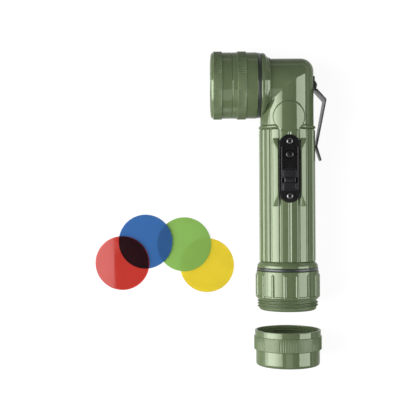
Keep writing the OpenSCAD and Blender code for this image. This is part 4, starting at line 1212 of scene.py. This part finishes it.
class FLASHLIGHT_OT_clip(Operator):
    """Builds the belt clip as one bent strip, and the rivet"""
    bl_idname = "flashlight.clip"
    bl_label = "Belt Clip"

    def path(self):
        """Middle line of the strip, with its bends rounded, from the top of its tab to its lip."""
        longest, parts = 1.5, 8
        line = [Vector(CLIP_LINE[0])]
        for before, p, after, r in zip(CLIP_LINE, CLIP_LINE[1:], CLIP_LINE[2:], CLIP_BENDS):
            p, back, ahead = Vector(p), Vector(before) - Vector(p), Vector(after) - Vector(p)
            half = back.angle(ahead) / 2
            cut = r / math.tan(half)
            centre = p + (back.normalized() + ahead.normalized()).normalized() * r / math.sin(half)
            start, end = p + back.normalized() * cut - centre, p + ahead.normalized() * cut - centre
            for k in range(parts + 1):
                line.append(centre + start.lerp(end, k / parts).normalized() * r)
        line.append(Vector(CLIP_LINE[-1]))
        dense = []
        for p, q in zip(line, line[1:]):
            n = max(1, int((q - p).length / longest))
            dense += [p.lerp(q, k / n) for k in range(n)]
        return dense + [line[-1]]

    def half_width(self, y, near_end):
        """Half the strip's width at a height: a narrow tab, then a taper to the tip, with rounded ends."""
        wide, tip = CLIP_TAPER
        half = CLIP_HALF
        if y <= wide:
            half += (CLIP_TIP_HALF - CLIP_HALF) * (y - wide) / (tip - wide)
        half += (TAB_HALF - half) * smooth(*TAB_END, y)
        return half - CLIP_END_CUT * max(0.0, 1 - near_end / CLIP_END_ROUND) ** 2

    def strip(self):
        thick = CLIP_T / 2
        line = self.path()
        rows = []
        for i, p in enumerate(line):
            run = (line[min(i + 1, len(line) - 1)] - line[max(i - 1, 0)]).normalized()
            out = Vector((-run.y, run.x))
            half = self.half_width(p.y, min((p - line[0]).length, (p - line[-1]).length))
            section = rounded([(-thick, -half), (thick, -half), (thick, half), (-thick, half)], CLIP_EDGE)
            rows.append([(p.x + out.x * t, p.y + out.y * t, z) for t, z in section])
        return bridge(rows, ends=True)

    def rivet(self):
        dome = [(RIVET_HEAD_R * math.sin(t), RIVET_SEAT + RIVET_HEAD_H * math.cos(t)) for t in arc(10)]
        neck = RIVET_FOOT + RIVET_FOOT_T
        outline = [(0, RIVET_FOOT), (RIVET_FOOT_R, RIVET_FOOT), (RIVET_FOOT_R, neck), (RIVET_R, neck),
                   (RIVET_R, RIVET_SEAT)] + dome[::-1]
        return lathe(on_clip, outline, steps=64, closed=False)

    def execute(self, context):
        clip = piece("clip_strip", [self.strip()], [grey_steel(), black_steel()], "clip_tab",
                     sharp=40, more=("clip_arm",))
        give_second_material(clip, lambda x, y, z: y > TAB_END[1])
        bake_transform(clip)
        piece("rivet_head", [self.rivet()], [black_steel()], "clip_rivet")
        return {"FINISHED"}


class FLASHLIGHT_OT_filters(Operator):
    """Builds the four clear colour filters, each leaning on the one to its right"""
    bl_idname = "flashlight.filters"
    bl_label = "Filters"

    # How clear each filter is, from the lowest one up
    clearness = {"yellow": 0.9, "green": 0.5, "blue": 0.65, "red": 1.0}

    def execute(self, context):
        face, flat = FILTER_T / 2, FILTER_R - FILTER_RIM
        outline = rounded([(0, -face, 0), (flat, -face, 0), (FILTER_R, -face), (FILTER_R, face),
                           (flat, face, 0), (0, face, 0)], FILTER_EDGE)
        before = None
        for name, clear in self.clearness.items():
            node = name + "_filter"
            low, high = (Vector(p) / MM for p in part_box(node))
            centre = (low + high) / 2
            lean = math.asin(max(0.0, high.z - low.z - FILTER_T) / (2 * FILTER_R))
            turn = math.atan2(centre.y - before.y, centre.x - before.x) if before else 0.0
            before = centre
            disc = lathe(leaning(centre, lean, turn), outline, steps=160, closed=False)
            piece(name + "_disc", [disc], [filter_plastic(name, clear)], node, sharp=60)
        return {"FINISHED"}


class FLASHLIGHT_OT_inside(Operator):
    """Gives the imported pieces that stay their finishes: cells, contacts, springs and inner seals"""
    bl_idname = "flashlight.inside"
    bl_label = "Inside"

    def execute(self, context):
        finishes = {
            brass: ("bulb_holder", "bulb_base", "bulb_contact", "ground_strip", "slide_contact",
                    "spring_plate"),
            cell_sleeve: ("upper_cell", "lower_cell"),
            black_rubber: ("filter_gasket", "lens_gasket", "switch_gasket", "cap_gasket"),
            black_plastic: ("contact_disc",),
            black_steel: ("clip_plate",),
            grey_steel: ("battery_spring",),
        }
        for make, nodes in finishes.items():
            for node in nodes:
                materials = frame["nodes"][node].data.materials
                materials.clear()
                materials.append(make())
        return {"FINISHED"}


class FLASHLIGHT_OT_stage(Operator):
    """Sets the pale floor, four softboxes, the world's dim fill and the camera straight above"""
    bl_idname = "flashlight.stage"
    bl_label = "Stage"

    # Sizes of the stage in metres, the sensor's width and the camera's place in millimetres from the elbow
    floor_half = 4.0
    floor_drop = 0.0001
    view_width = 0.3
    sensor = 36
    camera_place = (-65.4, -85.6)

    # Brightness of the floor as it lights the pieces, takes shadows and glows, and of the fill
    floor_light = 0.8
    floor_shade = 0.16
    floor_glow = 0.86
    fill_below = 0.2
    fill_above = 0.14

    def seen(self, tree):
        """1 for rays from the camera, a gloss or through something clear."""
        path = tree.nodes.new("ShaderNodeLightPath")
        total = path.outputs["Is Camera Ray"]
        for kind in ("Is Transmission Ray", "Is Glossy Ray"):
            either = tree.nodes.new("ShaderNodeMath")
            either.operation = "MAXIMUM"
            tree.links.new(total, either.inputs[0])
            tree.links.new(path.outputs[kind], either.inputs[1])
            total = either.outputs[0]
        return total

    def floor(self):
        """Floor that lights the pieces as a pale one does, and is seen as even white with faint shadows."""
        half = self.floor_half
        mesh = bpy.data.meshes.new("floor")
        mesh.from_pydata([(-half, -half, 0), (half, -half, 0), (half, half, 0), (-half, half, 0)], [],
                         [(0, 1, 2, 3)])
        obj = bpy.data.objects.new("floor", mesh)
        bpy.context.scene.collection.objects.link(obj)
        obj.location.z = -self.floor_drop
        material = bpy.data.materials.new("pale_floor")
        material.use_nodes = True
        tree = material.node_tree
        tree.nodes.remove(tree.nodes["Principled BSDF"])
        plain = tree.nodes.new("ShaderNodeBsdfDiffuse")
        plain.inputs["Color"].default_value = (*[self.floor_light] * 3, 1)
        faint = tree.nodes.new("ShaderNodeBsdfDiffuse")
        faint.inputs["Color"].default_value = (*[self.floor_shade] * 3, 1)
        glow = tree.nodes.new("ShaderNodeEmission")
        glow.inputs["Strength"].default_value = self.floor_glow
        both = tree.nodes.new("ShaderNodeAddShader")
        mix = tree.nodes.new("ShaderNodeMixShader")
        tree.links.new(faint.outputs[0], both.inputs[0])
        tree.links.new(glow.outputs[0], both.inputs[1])
        tree.links.new(self.seen(tree), mix.inputs[0])
        tree.links.new(plain.outputs[0], mix.inputs[1])
        tree.links.new(both.outputs[0], mix.inputs[2])
        tree.links.new(mix.outputs[0], tree.nodes["Material Output"].inputs["Surface"])
        mesh.materials.append(material)

    def world(self):
        """Dim fill that falls off upward, and plain white where the camera sees it."""
        world = bpy.data.worlds.new("studio")
        bpy.context.scene.world = world
        world.use_nodes = True
        tree = world.node_tree
        back = tree.nodes["Background"]
        place = tree.nodes.new("ShaderNodeTexCoord")
        parts = tree.nodes.new("ShaderNodeSeparateXYZ")
        tree.links.new(place.outputs["Generated"], parts.inputs[0])
        fill = ranged(tree, parts.outputs["Z"], self.fill_below, self.fill_above, start=0.0, stop=0.45)
        path = tree.nodes.new("ShaderNodeLightPath")
        mix = tree.nodes.new("ShaderNodeMix")
        tree.links.new(path.outputs["Is Camera Ray"], mix.inputs["Factor"])
        tree.links.new(fill, mix.inputs["A"])
        mix.inputs["B"].default_value = 1.0
        tree.links.new(mix.outputs["Result"], back.inputs["Strength"])
        back.inputs["Color"].default_value = (1, 1, 1, 1)

    def softbox(self, name, away, width, length, level, turn=0.0, distance=0.9, middle=-162, fade=1.0):
        """Softbox leaning away from straight up by an angle, to the right or, turned, to another side.

        middle is where it aims, in millimetres along the barrel, and fade is the share of its brightness
        that is left at its upper edge.
        """
        lamp = bpy.data.lights.new(name, "AREA")
        lamp.shape = "RECTANGLE"
        lamp.size, lamp.size_y = width, length
        lamp.energy = sizes().softbox * level * math.pi * width * length
        if fade < 1:
            lamp.use_nodes = True
            tree = lamp.node_tree
            place = tree.nodes.new("ShaderNodeNewGeometry")
            parts = tree.nodes.new("ShaderNodeSeparateXYZ")
            tree.links.new(place.outputs["Parametric"], parts.inputs[0])
            tree.links.new(ranged(tree, parts.outputs["X"], 1.0, fade, start=0.45, stop=1.0),
                           tree.nodes["Emission"].inputs["Strength"])
        obj = bpy.data.objects.new(name, lamp)
        bpy.context.scene.collection.objects.link(obj)
        obj.rotation_euler = (0, math.radians(away), math.radians(turn))
        aim = ELBOW + Vector((0, middle, 0)) * MM
        obj.location = aim + obj.rotation_euler.to_matrix() @ Vector((0, 0, distance))
        obj.visible_camera = False

    def camera(self):
        """Camera straight above, whose picture is view_width wide at the height of the barrel's axis."""
        height = sizes().camera_height
        lens = bpy.data.cameras.new("camera")
        lens.sensor_width = self.sensor
        lens.lens = self.sensor * height / self.view_width
        lens.clip_start, lens.clip_end = 0.01, 20
        camera = bpy.data.objects.new("camera", lens)
        bpy.context.scene.collection.objects.link(camera)
        camera.location = ELBOW + Vector((*self.camera_place, height / MM)) * MM
        camera.rotation_euler.z = sizes().camera_roll
        bpy.context.scene.camera = camera

    def execute(self, context):
        context.scene.view_settings.view_transform = "Standard"
        self.floor()
        self.world()
        self.softbox("left_softbox", away=-52, width=0.528, length=0.46, level=8.1, distance=0.5,
                     middle=-140, fade=0.37)
        self.softbox("low_softbox", away=-86, width=0.11, length=0.46, level=4.6, distance=0.5, middle=-140)
        self.softbox("right_softbox", away=58, width=0.73, length=0.7, level=4.9)
        self.softbox("front_softbox", away=32, width=0.7, length=0.36, level=0.9, turn=-90)
        self.camera()
        return {"FINISHED"}


OPERATORS = (FLASHLIGHT_OT_casing, FLASHLIGHT_OT_head_rings, FLASHLIGHT_OT_caps, FLASHLIGHT_OT_gaskets,
             FLASHLIGHT_OT_optics, FLASHLIGHT_OT_switch, FLASHLIGHT_OT_clip, FLASHLIGHT_OT_filters,
             FLASHLIGHT_OT_inside, FLASHLIGHT_OT_stage)


class FLASHLIGHT_PT_pieces(Panel):
    """Lists the pieces of the flashlight"""
    bl_idname = "FLASHLIGHT_PT_pieces"
    bl_label = "Angle-Head Flashlight"
    bl_space_type = "VIEW_3D"
    bl_region_type = "UI"
    bl_category = "Flashlight"

    def draw(self, context):
        for operator in OPERATORS:
            self.layout.operator(operator.bl_idname)
        for group in (context.scene.flashlight_sizes, context.scene.flashlight_colours):
            for name in group.__annotations__:
                self.layout.prop(group, name)


CLASSES = (FlashlightSizes, FlashlightColours) + OPERATORS + (FLASHLIGHT_PT_pieces,)


def register():
    for cls in CLASSES:
        bpy.utils.register_class(cls)
    bpy.types.Scene.flashlight_sizes = PointerProperty(type=FlashlightSizes)
    bpy.types.Scene.flashlight_colours = PointerProperty(type=FlashlightColours)


def unregister():
    del bpy.types.Scene.flashlight_colours
    del bpy.types.Scene.flashlight_sizes
    for cls in reversed(CLASSES):
        bpy.utils.unregister_class(cls)


def main():
    register()
    bpy.ops.flashlight.casing()
    bpy.ops.flashlight.head_rings()
    bpy.ops.flashlight.caps()
    bpy.ops.flashlight.gaskets()
    bpy.ops.flashlight.optics()
    bpy.ops.flashlight.switch()
    bpy.ops.flashlight.clip()
    bpy.ops.flashlight.filters()
    bpy.ops.flashlight.inside()
    bpy.ops.flashlight.stage()


if __name__ == "__main__":
    main()
